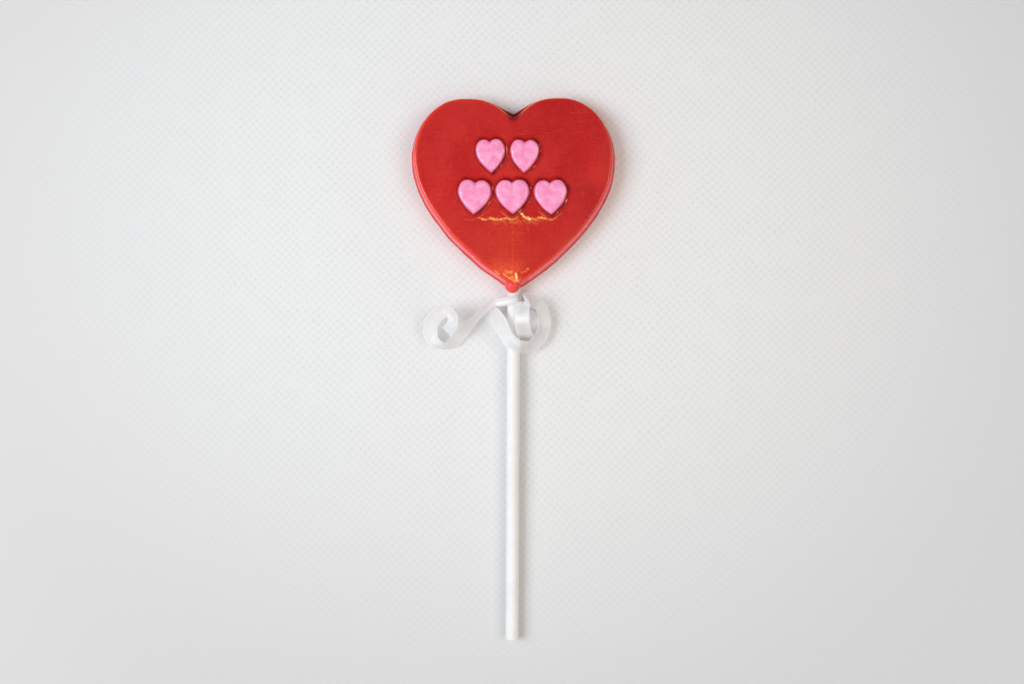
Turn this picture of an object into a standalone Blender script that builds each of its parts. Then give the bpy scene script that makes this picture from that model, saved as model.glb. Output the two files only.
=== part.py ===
"""Heart lollipop: a flat heart of hard candy on a rolled paper stick, tied with a curled ribbon, lying face up.

The origin is on the surface that it lies on, below the middle of the whole. +Y runs along the stick towards
the heart, and +Z points up through the heart's face. All sizes are metres.
"""

import math

import bmesh
import bpy
from mathutils import Vector

MM = 0.001

# The heart's base outline. One half runs from the notch over the lobe's crown and down the flank to the tip,
# as three Bezier curves; each reach is the length of a curve's handle.
HALF_WIDTH = 34.3 * MM
FLANK_Y = 70.0 * MM
CROWN_X = 15.8 * MM
CROWN_Y = 90.8 * MM
NOTCH_Y = 85.55 * MM
TIP_Y = 25.8 * MM
NOTCH_SLOPE = 0.52
TIP_SLOPE = 0.61
NOTCH_REACH = 5.8 * MM
CROWN_INNER_REACH = 8.8 * MM
CROWN_OUTER_REACH = 9.5 * MM
FLANK_UPPER_REACH = 11.5 * MM
FLANK_LOWER_REACH = 18.7 * MM
TIP_REACH = 16.6 * MM
# A parallel curve moves further at the notch and at the tip than along the sides.
NOTCH_PULL = 1.79
TIP_PULL = 1.17
OUTLINE_STEPS = (9, 10, 14)
# The slab set a little to the right of the stick.
HEART_SHIFT = Vector((0.3, 0.0)) * MM

# Heights and insets of the heart's drafted wall, from the back's edge over the lip to the rounded face edge.
HEART_TOP = 7.5 * MM
HEART_WALL = (
    (0.0, 0.25 * MM),
    (0.35 * MM, 0.0),
    (1.2 * MM, 0.15 * MM),
    (6.4 * MM, 1.35 * MM),
    (7.0 * MM, 1.6 * MM),
    (7.35 * MM, 1.95 * MM),
    (HEART_TOP, 2.5 * MM),
)

# The bead of candy that ran over the stick at the heart's tip.
NUB_CENTRE = Vector((-0.1, 27.9, 4.8)) * MM
NUB_RADII = Vector((2.65, 2.6, 2.0)) * MM
NUB_FLOOR = 3.35 * MM

# The stick rises slightly from its free end, which leaves room for the ribbon below it at the heart's tip.
STICK_RADIUS = 2.185 * MM
STICK_START = Vector((-0.24, -90.0, 2.285)) * MM
STICK_END_Y = 62.4 * MM
STICK_RISE = Vector((0.005, 1.0, 0.0072))
STICK_SIDES = 32
FIT_GAP = 0.3 * MM
SOCKET_MOUTH_Y = 20.0 * MM

# Each ornament: its middle along X and Y, the pink cap's width and height, and its turn in degrees.
ORNAMENTS = {
    "upper_left": (-7.3 * MM, 70.1 * MM, 9.6 * MM, 11.0 * MM, 3.0),
    "upper_right": (3.8 * MM, 70.0 * MM, 9.4 * MM, 10.9 * MM, -2.0),
    "lower_left": (-12.6 * MM, 56.6 * MM, 10.9 * MM, 11.3 * MM, -2.5),
    "lower_mid": (-0.1 * MM, 56.7 * MM, 11.1 * MM, 11.2 * MM, 1.5),
    "lower_right": (12.4 * MM, 56.5 * MM, 10.8 * MM, 11.4 * MM, 2.5),
}
ORNAMENT_STEPS = (5, 5, 6)
PLINTH_FOOT = 6.8 * MM
PLINTH_TOP = 8.25 * MM
PLINTH_MARGIN = 0.15 * MM
PLINTH_RUN = 0.55 * MM
CAP_FOOT = PLINTH_TOP + FIT_GAP
CAP_WALL = ((0.0, 0.0), (0.45 * MM, 0.03 * MM), (0.68 * MM, 0.15 * MM), (0.8 * MM, 0.42 * MM))

# The ribbon is a flat strip. Its route and twist are a list of stations chosen by hand, in millimetres and
# degrees: the middle of the strip, then the compass direction and the tilt of its width, then its width where
# that isn't the full one. It is gathered where it goes round the stick.
RIBBON_WIDTH = 4.8
RIBBON_THICKNESS = 0.24 * MM
RIBBON_STEPS = 4
LEFT_CURL = (
    (-21.8, 12.3, 6.6, 188, -24),
    (-20.0, 14.6, 7.0, 200, -32),
    (-19.8, 17.5, 7.0, 222, -42),
    (-22.2, 19.5, 6.4, 262, -44),
    (-25.4, 17.8, 5.2, 312, -28),
    (-27.2, 15.0, 4.2, 350, -14),
    (-27.4, 11.7, 3.6, 12, 8),
    (-26.1, 9.2, 3.3, 42, 36),
    (-22.9, 7.9, 3.1, 82, 60),
    (-19.4, 9.5, 3.0, 105, 42),
    (-17.1, 12.2, 3.1, 117, 38),
    (-14.7, 14.6, 3.6, 128, 56),
    (-12.4, 17.0, 4.2, 134, 66, 4.5),
    (-10.0, 19.2, 4.9, 132, 66, 3.8),
    (-7.8, 21.2, 5.7, 122, 50, 3.0),
    (-5.3, 22.2, 6.25, 108, 25, 2.7),
    (-2.9, 22.5, 6.0, 98, 8, 2.7),
)
WRAP_RADIUS = 2.65 * MM
WRAP_WIDTH = 2.7
# Angle about the stick from +X, place along Y, and compass direction of the width.
WRAP = ((86, 22.8, 93), (45, 22.7, 92), (0, 22.3, 92), (-45, 21.8, 94), (-90, 21.3, 94))
RIGHT_CURL = (
    (-2.6, 20.6, 0.55, 74, 0, 2.9),
    (-5.2, 19.8, 0.95, 60, 3, 3.3),
    (-7.1, 18.9, 2.3, 55, 3, 4.1),
    (-7.5, 18.8, 4.2, 53, 0, 4.7),
    (-6.7, 18.3, 6.0, 47, 0),
    (-5.0, 16.6, 6.7, 36, 3),
    (-3.6, 14.2, 6.8, 34, 16),
    (-2.3, 11.4, 7.0, 38, 28),
    (-0.6, 9.1, 7.2, 50, 25),
    (2.0, 7.6, 6.9, 75, 28),
    (5.0, 7.5, 5.0, 98, 46),
    (8.2, 9.2, 3.3, 135, 42),
    (10.4, 12.7, 3.0, 160, 46),
    (11.1, 16.4, 3.1, 187, 54),
    (10.1, 20.0, 3.9, 212, 54),
    (7.8, 22.6, 5.2, 240, 48),
    (5.5, 23.2, 7.0, 252, 38),
    (3.7, 22.2, 8.6, 222, 20),
    (3.0, 20.2, 9.3, 190, 4),
    (3.0, 17.6, 9.2, 182, 0),
    (3.1, 15.1, 8.4, 180, 0),
    (3.9, 13.1, 6.8, 180, 0),
    (5.0, 12.3, 4.9, 180, 0),
    (5.7, 12.4, 2.9, 180, 0),
    (6.0, 13.9, 1.3, 180, 0),
    (6.1, 16.3, 0.8, 180, 0),
    (6.1, 18.6, 1.4, 180, 0),
    (6.2, 19.7, 3.0, 180, 0),
    (6.2, 19.2, 4.8, 180, 0),
    (6.2, 17.3, 6.0, 180, 0),
    (6.2, 15.2, 5.8, 180, 0),
    (6.4, 13.5, 4.8, 180, 0, 4.4),
)

RED_CANDY = ("red_candy", (0.52, 0.022, 0.020), 0.22)
PINK_CANDY = ("pink_candy", (0.96, 0.35, 0.56), 0.3)
PAPER = ("rolled_paper", (0.86, 0.84, 0.80), 0.55)
SATIN = ("satin_ribbon", (0.85, 0.85, 0.88), 0.3)


def clear_scene():
    for thing in list(bpy.data.objects):
        bpy.data.objects.remove(thing)


def finish_material(finish):
    """The material of a (name, colour, roughness) finish, made once."""
    name, colour, roughness = finish
    material = bpy.data.materials.get(name) or bpy.data.materials.new(name)
    material.use_nodes = True
    shader = material.node_tree.nodes["Principled BSDF"]
    shader.inputs["Base Color"].default_value = (*colour, 1.0)
    shader.inputs["Roughness"].default_value = roughness
    shader.inputs["Metallic"].default_value = 0.0
    return material


def add_object(name, mesh_data, finish):
    """Turns a bmesh into a named object in the scene, with its faces pointing out."""
    bmesh.ops.recalc_face_normals(mesh_data, faces=mesh_data.faces)
    mesh = bpy.data.meshes.new(name)
    mesh_data.to_mesh(mesh)
    mesh_data.free()
    mesh.materials.append(finish_material(finish))
    part = bpy.data.objects.new(name, mesh)
    bpy.context.scene.collection.objects.link(part)
    return part


def shade(part, sharp_degrees):
    part.data.shade_smooth()
    part.data.set_sharp_from_angle(angle=math.radians(sharp_degrees))


def bezier(start, leave, arrive, end, steps):
    """Points along a cubic curve, from its start up to the last one before its end."""
    points = []
    for step in range(steps):
        t = step / steps
        s = 1.0 - t
        points.append(s**3 * start + 3 * s * s * t * leave + 3 * s * t * t * arrive + t**3 * end)
    return points


def heart_outline(inset, steps):
    """The closed outline of the heart at an inset from its base, anticlockwise seen from above."""
    notch = Vector((0.0, NOTCH_Y - NOTCH_PULL * inset))
    crown = Vector((CROWN_X, CROWN_Y - inset))
    flank = Vector((HALF_WIDTH - inset, FLANK_Y))
    tip = Vector((0.0, TIP_Y + TIP_PULL * inset))
    notch_side = Vector((1.0, NOTCH_SLOPE)).normalized()
    tip_side = Vector((1.0, TIP_SLOPE)).normalized()
    # Handles shrink with the stretch that they belong to, so that the curves never cross.
    rim = (crown - notch).length / math.hypot(CROWN_X, CROWN_Y - NOTCH_Y)
    across = (flank.x - crown.x) / (HALF_WIDTH - CROWN_X)
    down = (crown.y - flank.y) / (CROWN_Y - FLANK_Y)
    side = (flank - tip).length / math.hypot(HALF_WIDTH, FLANK_Y - TIP_Y)
    half = bezier(
        notch,
        notch + NOTCH_REACH * rim * notch_side,
        crown - Vector((CROWN_INNER_REACH * rim, 0.0)),
        crown,
        steps[0],
    )
    half += bezier(
        crown,
        crown + Vector((CROWN_OUTER_REACH * across, 0.0)),
        flank + Vector((0.0, FLANK_UPPER_REACH * down)),
        flank,
        steps[1],
    )
    half += bezier(
        flank,
        flank - Vector((0.0, FLANK_LOWER_REACH * side)),
        tip + TIP_REACH * side * tip_side,
        tip,
        steps[2],
    )
    other_half = [Vector((-point.x, point.y)) for point in half[1:]]
    return [notch, *other_half, tip, *reversed(half[1:])]


def small_heart_outline(width, height, inset):
    """The heart's outline drawn at an ornament's size about its own middle."""
    across = width / (2.0 * HALF_WIDTH)
    along = height / (CROWN_Y - TIP_Y)
    middle = (CROWN_Y + TIP_Y) / 2.0
    outline = heart_outline(inset / across, ORNAMENT_STEPS)
    return [Vector((point.x * across, (point.y - middle) * along)) for point in outline]


def loft(name, rings, finish):
    """A closed solid through rings of (height, outline), with a flat face at each end."""
    mesh_data = bmesh.new()
    layers = []
    for height, outline in rings:
        layers.append([mesh_data.verts.new((point.x, point.y, height)) for point in outline])
    for lower, upper in zip(layers, layers[1:]):
        for i, corner in enumerate(lower):
            j = (i + 1) % len(lower)
            mesh_data.faces.new((corner, lower[j], upper[j], upper[i]))
    mesh_data.faces.new(reversed(layers[0]))
    mesh_data.faces.new(layers[-1])
    return add_object(name, mesh_data, finish)


def stick_point(y):
    """The point of the stick's axis at a place along Y."""
    return STICK_START + STICK_RISE * (y - STICK_START.y)


def add_rod(name, start_y, end_y, radius, finish):
    """A cylinder about the stick's axis, placed by its object's location and rotation."""
    start = stick_point(start_y)
    end = stick_point(end_y)
    mesh_data = bmesh.new()
    bmesh.ops.create_cone(
        mesh_data,
        cap_ends=True,
        segments=STICK_SIDES,
        radius1=radius,
        radius2=radius,
        depth=(end - start).length,
    )
    rod = add_object(name, mesh_data, finish)
    rod.location = (start + end) / 2.0
    rod.rotation_euler = (end - start).to_track_quat("Z", "Y").to_euler()
    return rod


def add_nub():
    """The bead's upper half, an ellipsoid cut off level above the middle of the stick."""
    mesh_data = bmesh.new()
    bmesh.ops.create_uvsphere(mesh_data, u_segments=24, v_segments=14, radius=1.0)
    bmesh.ops.scale(mesh_data, vec=NUB_RADII, verts=mesh_data.verts)
    bmesh.ops.translate(mesh_data, vec=NUB_CENTRE, verts=mesh_data.verts)
    everything = [*mesh_data.verts, *mesh_data.edges, *mesh_data.faces]
    cut = bmesh.ops.bisect_plane(
        mesh_data,
        geom=everything,
        plane_co=(0.0, 0.0, NUB_FLOOR),
        plane_no=(0.0, 0.0, 1.0),
        clear_inner=True,
    )
    rim = [item for item in cut["geom_cut"] if isinstance(item, bmesh.types.BMEdge)]
    bmesh.ops.contextual_create(mesh_data, geom=rim)
    return add_object("nub", mesh_data, RED_CANDY)


def place_ornament(part, x, y, height, turn):
    part.location = (x, y, height)
    part.rotation_euler = (0.0, 0.0, math.radians(turn))


def add_plinth(name, x, y, width, height, turn):
    """The raised red bed that a pink heart sits on, its foot sunk in the slab."""
    foot_width = width + 2.0 * (PLINTH_MARGIN + PLINTH_RUN)
    foot_height = height + 2.0 * (PLINTH_MARGIN + PLINTH_RUN)
    rings = (
        (0.0, small_heart_outline(foot_width, foot_height, 0.0)),
        (PLINTH_TOP - PLINTH_FOOT, small_heart_outline(foot_width, foot_height, PLINTH_RUN)),
    )
    plinth = loft(f"plinth_{name}", rings, RED_CANDY)
    place_ornament(plinth, x, y, PLINTH_FOOT, turn)
    return plinth


def add_pink_heart(name, x, y, width, height, turn):
    """A pink candy heart with a rounded upper edge."""
    rings = [(rise, small_heart_outline(width, height, inset)) for rise, inset in CAP_WALL]
    cap = loft(f"pink_heart_{name}", rings, PINK_CANDY)
    place_ornament(cap, x, y, CAP_FOOT, turn)
    shade(cap, 50.0)
    return cap


def combine(part, helper, operation):
    """Joins a helper to a part, or cuts it away, and keeps the helper as a wire guide."""
    modifier = part.modifiers.new(helper.name, "BOOLEAN")
    modifier.operation = operation
    modifier.object = helper
    helper.hide_render = True
    helper.display_type = "WIRE"


def add_heart():
    """The red slab with its bead and plinths, and the socket that holds the stick."""
    rings = []
    for height, inset in HEART_WALL:
        rings.append((height, [point + HEART_SHIFT for point in heart_outline(inset, OUTLINE_STEPS)]))
    heart = loft("heart", rings, RED_CANDY)
    combine(heart, add_nub(), "UNION")
    for name, sizes in ORNAMENTS.items():
        combine(heart, add_plinth(name, *sizes), "UNION")
    socket_end = STICK_END_Y + FIT_GAP
    socket = add_rod("socket", SOCKET_MOUTH_Y, socket_end, STICK_RADIUS + FIT_GAP, RED_CANDY)
    combine(heart, socket, "DIFFERENCE")
    shade(heart, 40.0)
    return heart


def add_stick():
    stick = add_rod("stick", STICK_START.y, STICK_END_Y, STICK_RADIUS, PAPER)
    shade(stick, 40.0)
    return stick


def wrap_stations():
    """The stations of the ribbon's half turn round the stick, from above it down its right side to below it."""
    stations = []
    for angle, y, compass in WRAP:
        turn = math.radians(angle)
        middle = stick_point(y * MM) + WRAP_RADIUS * Vector((math.cos(turn), 0.0, math.sin(turn)))
        stations.append((middle.x / MM, y, middle.z / MM, compass, 0, WRAP_WIDTH))
    return stations


def smooth_through(values, steps):
    """Vectors or numbers along a Catmull-Rom curve through the given ones."""
    ends = [2.0 * values[0] - values[1], *values, 2.0 * values[-1] - values[-2]]
    points = []
    for before, start, end, after in zip(ends, ends[1:], ends[2:], ends[3:]):
        for step in range(steps):
            t = step / steps
            bend = 2.0 * before - 5.0 * start + 4.0 * end - after
            twist = 3.0 * start - before - 3.0 * end + after
            points.append(0.5 * (2.0 * start + (end - before) * t + bend * t * t + twist * t**3))
    points.append(values[-1])
    return points


def compass_direction(compass, tilt):
    """The unit vector at a compass direction about +Z, from +X, and a tilt above the level."""
    turn = math.radians(compass)
    rise = math.radians(tilt)
    return Vector((math.cos(rise) * math.cos(turn), math.cos(rise) * math.sin(turn), math.sin(rise)))


def ribbon_edges():
    """The two long edges of the strip, as lists of points in metres."""
    middles = []
    directions = []
    half_widths = []
    for x, y, z, compass, tilt, *width in (*LEFT_CURL, *wrap_stations(), *RIGHT_CURL):
        middles.append(Vector((x, y, z)) * MM)
        directions.append(compass_direction(compass, tilt))
        half_widths.append((width[0] if width else RIBBON_WIDTH) * MM / 2.0)
    middles = smooth_through(middles, RIBBON_STEPS)
    directions = smooth_through(directions, RIBBON_STEPS)
    half_widths = smooth_through(half_widths, RIBBON_STEPS)
    left = []
    right = []
    last = len(middles) - 1
    for i, middle in enumerate(middles):
        along = (middles[min(i + 1, last)] - middles[max(i - 1, 0)]).normalized()
        across = directions[i] - directions[i].dot(along) * along
        across *= half_widths[i] / across.length
        left.append(middle - across)
        right.append(middle + across)
    return left, right


def add_ribbon():
    """The strip as a thin closed solid."""
    mesh_data = bmesh.new()
    left, right = ribbon_edges()
    rows = []
    for one, other in zip(left, right):
        rows.append([mesh_data.verts.new(point) for point in (one, (one + other) / 2.0, other)])
    for row, following in zip(rows, rows[1:]):
        for i in range(2):
            mesh_data.faces.new((row[i], row[i + 1], following[i + 1], following[i]))
    ribbon = add_object("ribbon", mesh_data, SATIN)
    solidify = ribbon.modifiers.new("thickness", "SOLIDIFY")
    solidify.thickness = RIBBON_THICKNESS
    solidify.offset = 0.0
    shade(ribbon, 60.0)
    return ribbon


def main():
    clear_scene()
    add_heart()
    add_stick()
    for name, sizes in ORNAMENTS.items():
        add_pink_heart(name, *sizes)
    add_ribbon()


main()
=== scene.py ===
"""Looks of the heart lollipop: candy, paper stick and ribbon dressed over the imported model, seen from above.

Lengths are in metres, and in millimetres in tables and where a docstring says so, in the frame of the
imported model: +Y runs along the stick towards the heart and +Z points up through the heart's face.
"""

import logging
import math
from collections.abc import Callable, Iterable, Sequence
from dataclasses import dataclass, field
from enum import Enum

import bmesh
import bpy
import numpy as np
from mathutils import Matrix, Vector, kdtree, noise


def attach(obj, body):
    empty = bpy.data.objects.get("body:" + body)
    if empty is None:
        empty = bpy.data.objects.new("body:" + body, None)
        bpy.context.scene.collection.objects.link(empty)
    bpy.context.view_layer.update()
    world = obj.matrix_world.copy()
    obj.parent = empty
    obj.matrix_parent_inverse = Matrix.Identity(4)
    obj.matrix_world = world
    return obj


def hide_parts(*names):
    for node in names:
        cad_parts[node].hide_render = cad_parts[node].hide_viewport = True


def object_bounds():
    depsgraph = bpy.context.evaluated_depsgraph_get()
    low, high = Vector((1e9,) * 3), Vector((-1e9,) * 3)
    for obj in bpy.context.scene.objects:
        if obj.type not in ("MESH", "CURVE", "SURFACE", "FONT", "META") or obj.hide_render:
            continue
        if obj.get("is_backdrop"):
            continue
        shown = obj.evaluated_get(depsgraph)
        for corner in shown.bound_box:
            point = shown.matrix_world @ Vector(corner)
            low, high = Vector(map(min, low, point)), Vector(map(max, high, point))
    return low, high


MM = 0.001
BODY = "root"
LOG = logging.getLogger("lollipop")

Part = bpy.types.Object
Material = bpy.types.Material
Tree = bpy.types.NodeTree
Pair = tuple[float, float]
Triple = tuple[float, float, float]
Colour = Triple
Rows = tuple[tuple[float, ...], ...]
Socket = bpy.types.NodeSocket
Value = Socket | float | Sequence[float]
Inputs = dict[str | int, Value]
NUMBER = "NodeSocketFloat"
VECTOR = "NodeSocketVector"
FACE_WAVES: Rows = ((0.045, 11.0, 5.0), (0.012, 3.5, 9.0))
SUGAR_IOR = 1.49


class Slot(Enum):
    """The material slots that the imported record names."""

    RED_CANDY = "red_candy"
    PINK_CANDY = "pink_candy"
    ROLLED_PAPER = "rolled_paper"
    SATIN_RIBBON = "satin_ribbon"


class Mark(Enum):
    """Masks that the meshes carry for their materials, one number at each vertex."""

    # Painted glow along the face's edge, strongest at the lower left, where the key light falls.
    EDGE = "edge"
    # The wall's smoother gloss and its painted shading: a brighter painted glow on the red wall, painted shade
    # on the pink caps' rounded sides.
    WALL = "wall"
    # Painted glow where the candy is thin: the lip at the foot and the bead, the bead lighter on its left.
    THIN = "thin"
    # Painted shade: round the pink caps on their beds, on the notch's wall and on the right side of the lip.
    MOAT = "moat"
    # Painted glints: on the lobes' top edge, in the apron below the lower caps and on the sides of the beds.
    GLINT = "glint"
    MATT = "matt"


# Small tools for editing.


def deselect_everything() -> None:
    """Leaves edit mode and clears the selection."""
    if bpy.context.mode != "OBJECT":
        bpy.ops.object.mode_set(mode="OBJECT")
    bpy.ops.object.select_all(action="DESELECT")


def make_active(part: Part) -> None:
    """Selects one object alone and makes it the active one.

    Args:
        part: The object.
    """
    deselect_everything()
    part.select_set(True)
    bpy.context.view_layer.objects.active = part


def smooth_by_angle(part: Part, degrees: float) -> None:
    """Shades a part smooth, with edges sharper than the angle kept crisp."""
    make_active(part)
    bpy.ops.object.shade_smooth_by_angle(angle=math.radians(degrees))


def unite(part: Part, other: Part, operation: str) -> None:
    """Joins another closed solid to a part, or cuts it away, and removes the other.

    Args:
        part: The solid that stays.
        other: The solid that is used up.
        operation: UNION or DIFFERENCE.
    """
    make_active(part)
    modifier = part.modifiers.new(other.name, "BOOLEAN")
    modifier.operation = operation
    modifier.solver = "EXACT"
    modifier.object = other
    bpy.ops.object.modifier_apply(modifier=modifier.name)
    bpy.data.objects.remove(other)


def ripples(points: np.ndarray, wavelength: float, seed: float, upright: float = 0.0) -> np.ndarray:
    """Smooth unevenness at points, from about -1 to 1, the same at every run.

    Args:
        points: Rows of x, y and z.
        wavelength: Length of one wave.
        seed: Number that picks the pattern.
        upright: How much a point's height counts.

    Returns:
        One number for each point.
    """
    shift = Vector((seed, 1.7 * seed, 0.3 * seed))
    return np.array([noise.noise(Vector((x, y, z * upright)) / wavelength + shift) for x, y, z in points])


def waves(points: np.ndarray, rows: Rows) -> np.ndarray:
    """The sum of ripples at points, from rows of depth and wavelength in millimetres, seed and upright."""
    return sum(depth * MM * ripples(points, length * MM, *rest) for depth, length, *rest in rows)


def pointing(compass: float, rise: float) -> Vector:
    """The direction of a compass angle and a rise above the level, both in degrees."""
    turn, lift = math.radians(compass), math.radians(rise)
    return Vector((math.cos(lift) * math.cos(turn), math.cos(lift) * math.sin(turn), math.sin(lift)))


def smooth_through(values: Sequence, steps: int) -> list:
    """Values along a Catmull-Rom curve through the given ones.

    Args:
        values: Vectors or numbers, at least two.
        steps: Values made for each stretch between two given ones.

    Returns:
        The values in order, the last given one included.
    """
    ends = [2.0 * values[0] - values[1], *values, 2.0 * values[-1] - values[-2]]
    made = []
    for before, start, end, after in zip(ends, ends[1:], ends[2:], ends[3:]):
        for step in range(steps):
            t = step / steps
            bend = 2.0 * before - 5.0 * start + 4.0 * end - after
            twist = 3.0 * start - before - 3.0 * end + after
            made.append(0.5 * (2.0 * start + (end - before) * t + bend * t * t + twist * t**3))
    made.append(values[-1])
    return made


@dataclass
class Ring:
    """One closed ring of points of a solid, and its vertices' marks: one number for all, or one for each."""

    points: np.ndarray
    marks: dict[Mark, float | np.ndarray] = field(default_factory=dict)


class RingSolid:
    """A closed solid that starts as a filled circle and is extruded ring by ring in edit mode."""

    def __init__(self, name: str, rings: Sequence[Ring]) -> None:
        """Builds the solid.

        Args:
            name: The object's name.
            rings: Rings of equally many points, from one closed end to the other.
        """
        deselect_everything()
        bpy.ops.mesh.primitive_circle_add(vertices=len(rings[0].points), radius=1.0, fill_type="NGON")
        self.part = bpy.context.active_object
        self.part.name = name
        bpy.ops.object.mode_set(mode="EDIT")
        bpy.ops.mesh.select_mode(type="VERT")
        bpy.ops.mesh.select_all(action="SELECT")
        start = bmesh.from_edit_mesh(self.part.data)
        for mark in Mark:
            start.verts.layers.float.new(mark.value)
        start.verts.ensure_lookup_table()
        self.order = {tuple(corner.co): i for i, corner in enumerate(start.verts)}
        self.place_ring(rings[0])
        for ring in rings[1:]:
            bpy.ops.mesh.extrude_region_move()
            self.place_ring(ring)
        bpy.ops.mesh.select_all(action="SELECT")
        bpy.ops.mesh.normals_make_consistent(inside=False)
        deselect_everything()

    def place_ring(self, ring: Ring) -> None:
        """Moves the selected ring of vertices onto its points and marks them.

        Args:
            ring: The points and marks, in the order of the first circle.
        """
        mesh = bmesh.from_edit_mesh(self.part.data)
        count = len(ring.points)
        layers = []
        for mark in Mark:
            values = np.broadcast_to(ring.marks.get(mark, 0.0), count)
            layers.append((mesh.verts.layers.float[mark.value], values))
        moved = {}
        for corner in mesh.verts:
            if corner.select:
                i = self.order[tuple(corner.co)]
                corner.co = Vector(ring.points[i])
                for layer, values in layers:
                    corner[layer] = values[i]
                moved[tuple(corner.co)] = i
        self.order = moved
        bmesh.update_edit_mesh(self.part.data)


class MarkBook:
    """Remembers the marks of solids at their vertices, and puts them back after the solids were joined."""

    def __init__(self) -> None:
        """Starts empty."""
        self.places: list[np.ndarray] = []
        self.values: list[np.ndarray] = []

    def read(self, part: Part) -> None:
        """Notes every vertex of a solid with its marks.

        Args:
            part: A solid of rings.
        """
        corners = part.data.vertices
        places = np.empty(3 * len(corners), dtype=np.float32)
        corners.foreach_get("co", places)
        values = np.zeros((len(Mark), len(corners)), dtype=np.float32)
        for row, mark in zip(values, Mark):
            part.data.attributes[mark.value].data.foreach_get("value", row)
        self.places.append(places.reshape(-1, 3))
        self.values.append(values.T)

    def write(self, part: Part) -> None:
        """Gives each vertex of a joined solid the marks of the nearest vertex noted.

        Args:
            part: The joined solid.
        """
        places = np.vstack(self.places)
        known = np.vstack(self.values)
        tree = kdtree.KDTree(len(places))
        for i, place in enumerate(places):
            tree.insert(place, i)
        tree.balance()
        nearest = [tree.find(corner.co)[1] for corner in part.data.vertices]
        for column, mark in enumerate(Mark):
            layer = part.data.attributes.get(mark.value)
            if layer is None:
                layer = part.data.attributes.new(mark.value, "FLOAT", "POINT")
            layer.data.foreach_set("value", np.ascontiguousarray(known[nearest, column]))


# The heart's outline.


@dataclass(frozen=True)
class HeartCurve:
    """A heart's outline: one half is three Bezier curves, from the notch over crown and flank to the tip."""

    half_width: float = 34.3 * MM
    flank_y: float = 70.0 * MM
    crown_x: float = 15.8 * MM
    crown_y: float = 90.8 * MM
    notch_y: float = 85.55 * MM
    tip_y: float = 25.8 * MM
    notch_slope: float = 0.52
    tip_slope: float = 0.61
    notch_reach: float = 5.8 * MM
    crown_inner_reach: float = 8.8 * MM
    crown_outer_reach: float = 9.5 * MM
    flank_upper_reach: float = 11.5 * MM
    flank_lower_reach: float = 18.7 * MM
    tip_reach: float = 16.6 * MM
    width: float = 68.6 * MM
    height: float = 65.0 * MM
    notch_sink: float = 2.6 * MM
    notch_span: float = 3.1 * MM
    notch_round: float = 0.8 * MM
    notch_inset: float = 1.7 * MM

    def half(self, samples: int = 160) -> np.ndarray:
        """Close points of the right half, from the notch to the tip, at the outline's own size.

        Args:
            samples: Points of each curve.

        Returns:
            Rows of x and y.
        """
        notch = np.array((0.0, self.notch_y))
        crown = np.array((self.crown_x, self.crown_y))
        flank = np.array((self.half_width, self.flank_y))
        tip = np.array((0.0, self.tip_y))
        notch_side = np.array((1.0, self.notch_slope)) / math.hypot(1.0, self.notch_slope)
        tip_side = np.array((1.0, self.tip_slope)) / math.hypot(1.0, self.tip_slope)
        level = np.array((1.0, 0.0))
        upright = np.array((0.0, 1.0))
        stretches = (
            (notch, notch + self.notch_reach * notch_side, crown - self.crown_inner_reach * level, crown),
            (crown, crown + self.crown_outer_reach * level, flank + self.flank_upper_reach * upright, flank),
            (flank, flank - self.flank_lower_reach * upright, tip + self.tip_reach * tip_side, tip),
        )
        t = np.linspace(0.0, 1.0, samples)[:, None]
        s = 1.0 - t
        curves = [s**3 * a + 3 * s * s * t * b + 3 * s * t * t * c + t**3 * d for a, b, c, d in stretches]
        points = np.vstack([curves[0], curves[1][1:], curves[2][1:]])
        middle = np.array((0.0, (self.crown_y + self.tip_y) / 2.0))
        scale = np.array((self.width / (2.0 * self.half_width), self.height / (self.crown_y - self.tip_y)))
        return (points - middle) * scale

    def ring(self, inset: float, count: int) -> np.ndarray:
        """The whole outline at an even inset, about the heart's own middle.

        Args:
            inset: Distance inwards from the outline; outwards where negative.
            count: Number of points, an even number.

        Returns:
            Evenly spaced points as rows of x and y, anticlockwise from the notch.
        """
        half = self.half()
        along = np.gradient(half, axis=0)
        along /= np.linalg.norm(along, axis=1)[:, None]
        moved = half + inset * np.column_stack((along[:, 1], -along[:, 0]))
        inside = np.flatnonzero(moved[:, 0] > 1e-7)
        first, last = inside[0], inside[-1]
        kept = moved[first : last + 1]
        ends = []
        for corner, way in ((kept[0], along[first]), (kept[-1], along[last])):
            ends.append((0.0, corner[1] - corner[0] * way[1] / way[0]))
        line = np.vstack((ends[0], kept, ends[1]))
        steps = np.concatenate(((0.0,), np.cumsum(np.linalg.norm(np.diff(line, axis=0), axis=1))))
        places = np.linspace(0.0, steps[-1], count // 2 + 1)
        even = np.column_stack([np.interp(places, steps, line[:, axis]) for axis in (0, 1)])
        if inset < 0.0:
            tip_side = along[last]
            near = (even[:, 1] < 0.0) & (np.abs(even[:, 0]) < -inset * abs(tip_side[1]))
            even[near, 1] = half[-1][1] - np.sqrt(inset**2 - even[near, 0] ** 2)
        even[:, 1] -= self.sink(even, inset)
        other = even * np.array((-1.0, 1.0))
        return np.vstack((other, even[-2:0:-1]))

    def sink(self, points: np.ndarray, inset: float) -> np.ndarray:
        """How much further the notch reaches in, as its wall slopes more than the rest.

        Args:
            points: Rows of x and y of a ring.
            inset: The ring's inset.

        Returns:
            A distance down for each point.
        """
        size = self.width / (2.0 * self.half_width)
        across = np.abs(points[:, 0]) / (self.notch_span * size)
        bottom = points[:, 0] / (self.notch_round * size)
        share = min(1.0, max(0.0, inset / (self.notch_inset * size)))
        upper = points[:, 1] > 0.0
        return upper * share * self.notch_sink * size * (np.exp(-(across**1.6)) - 0.31 * np.exp(-(bottom**2)))


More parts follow.
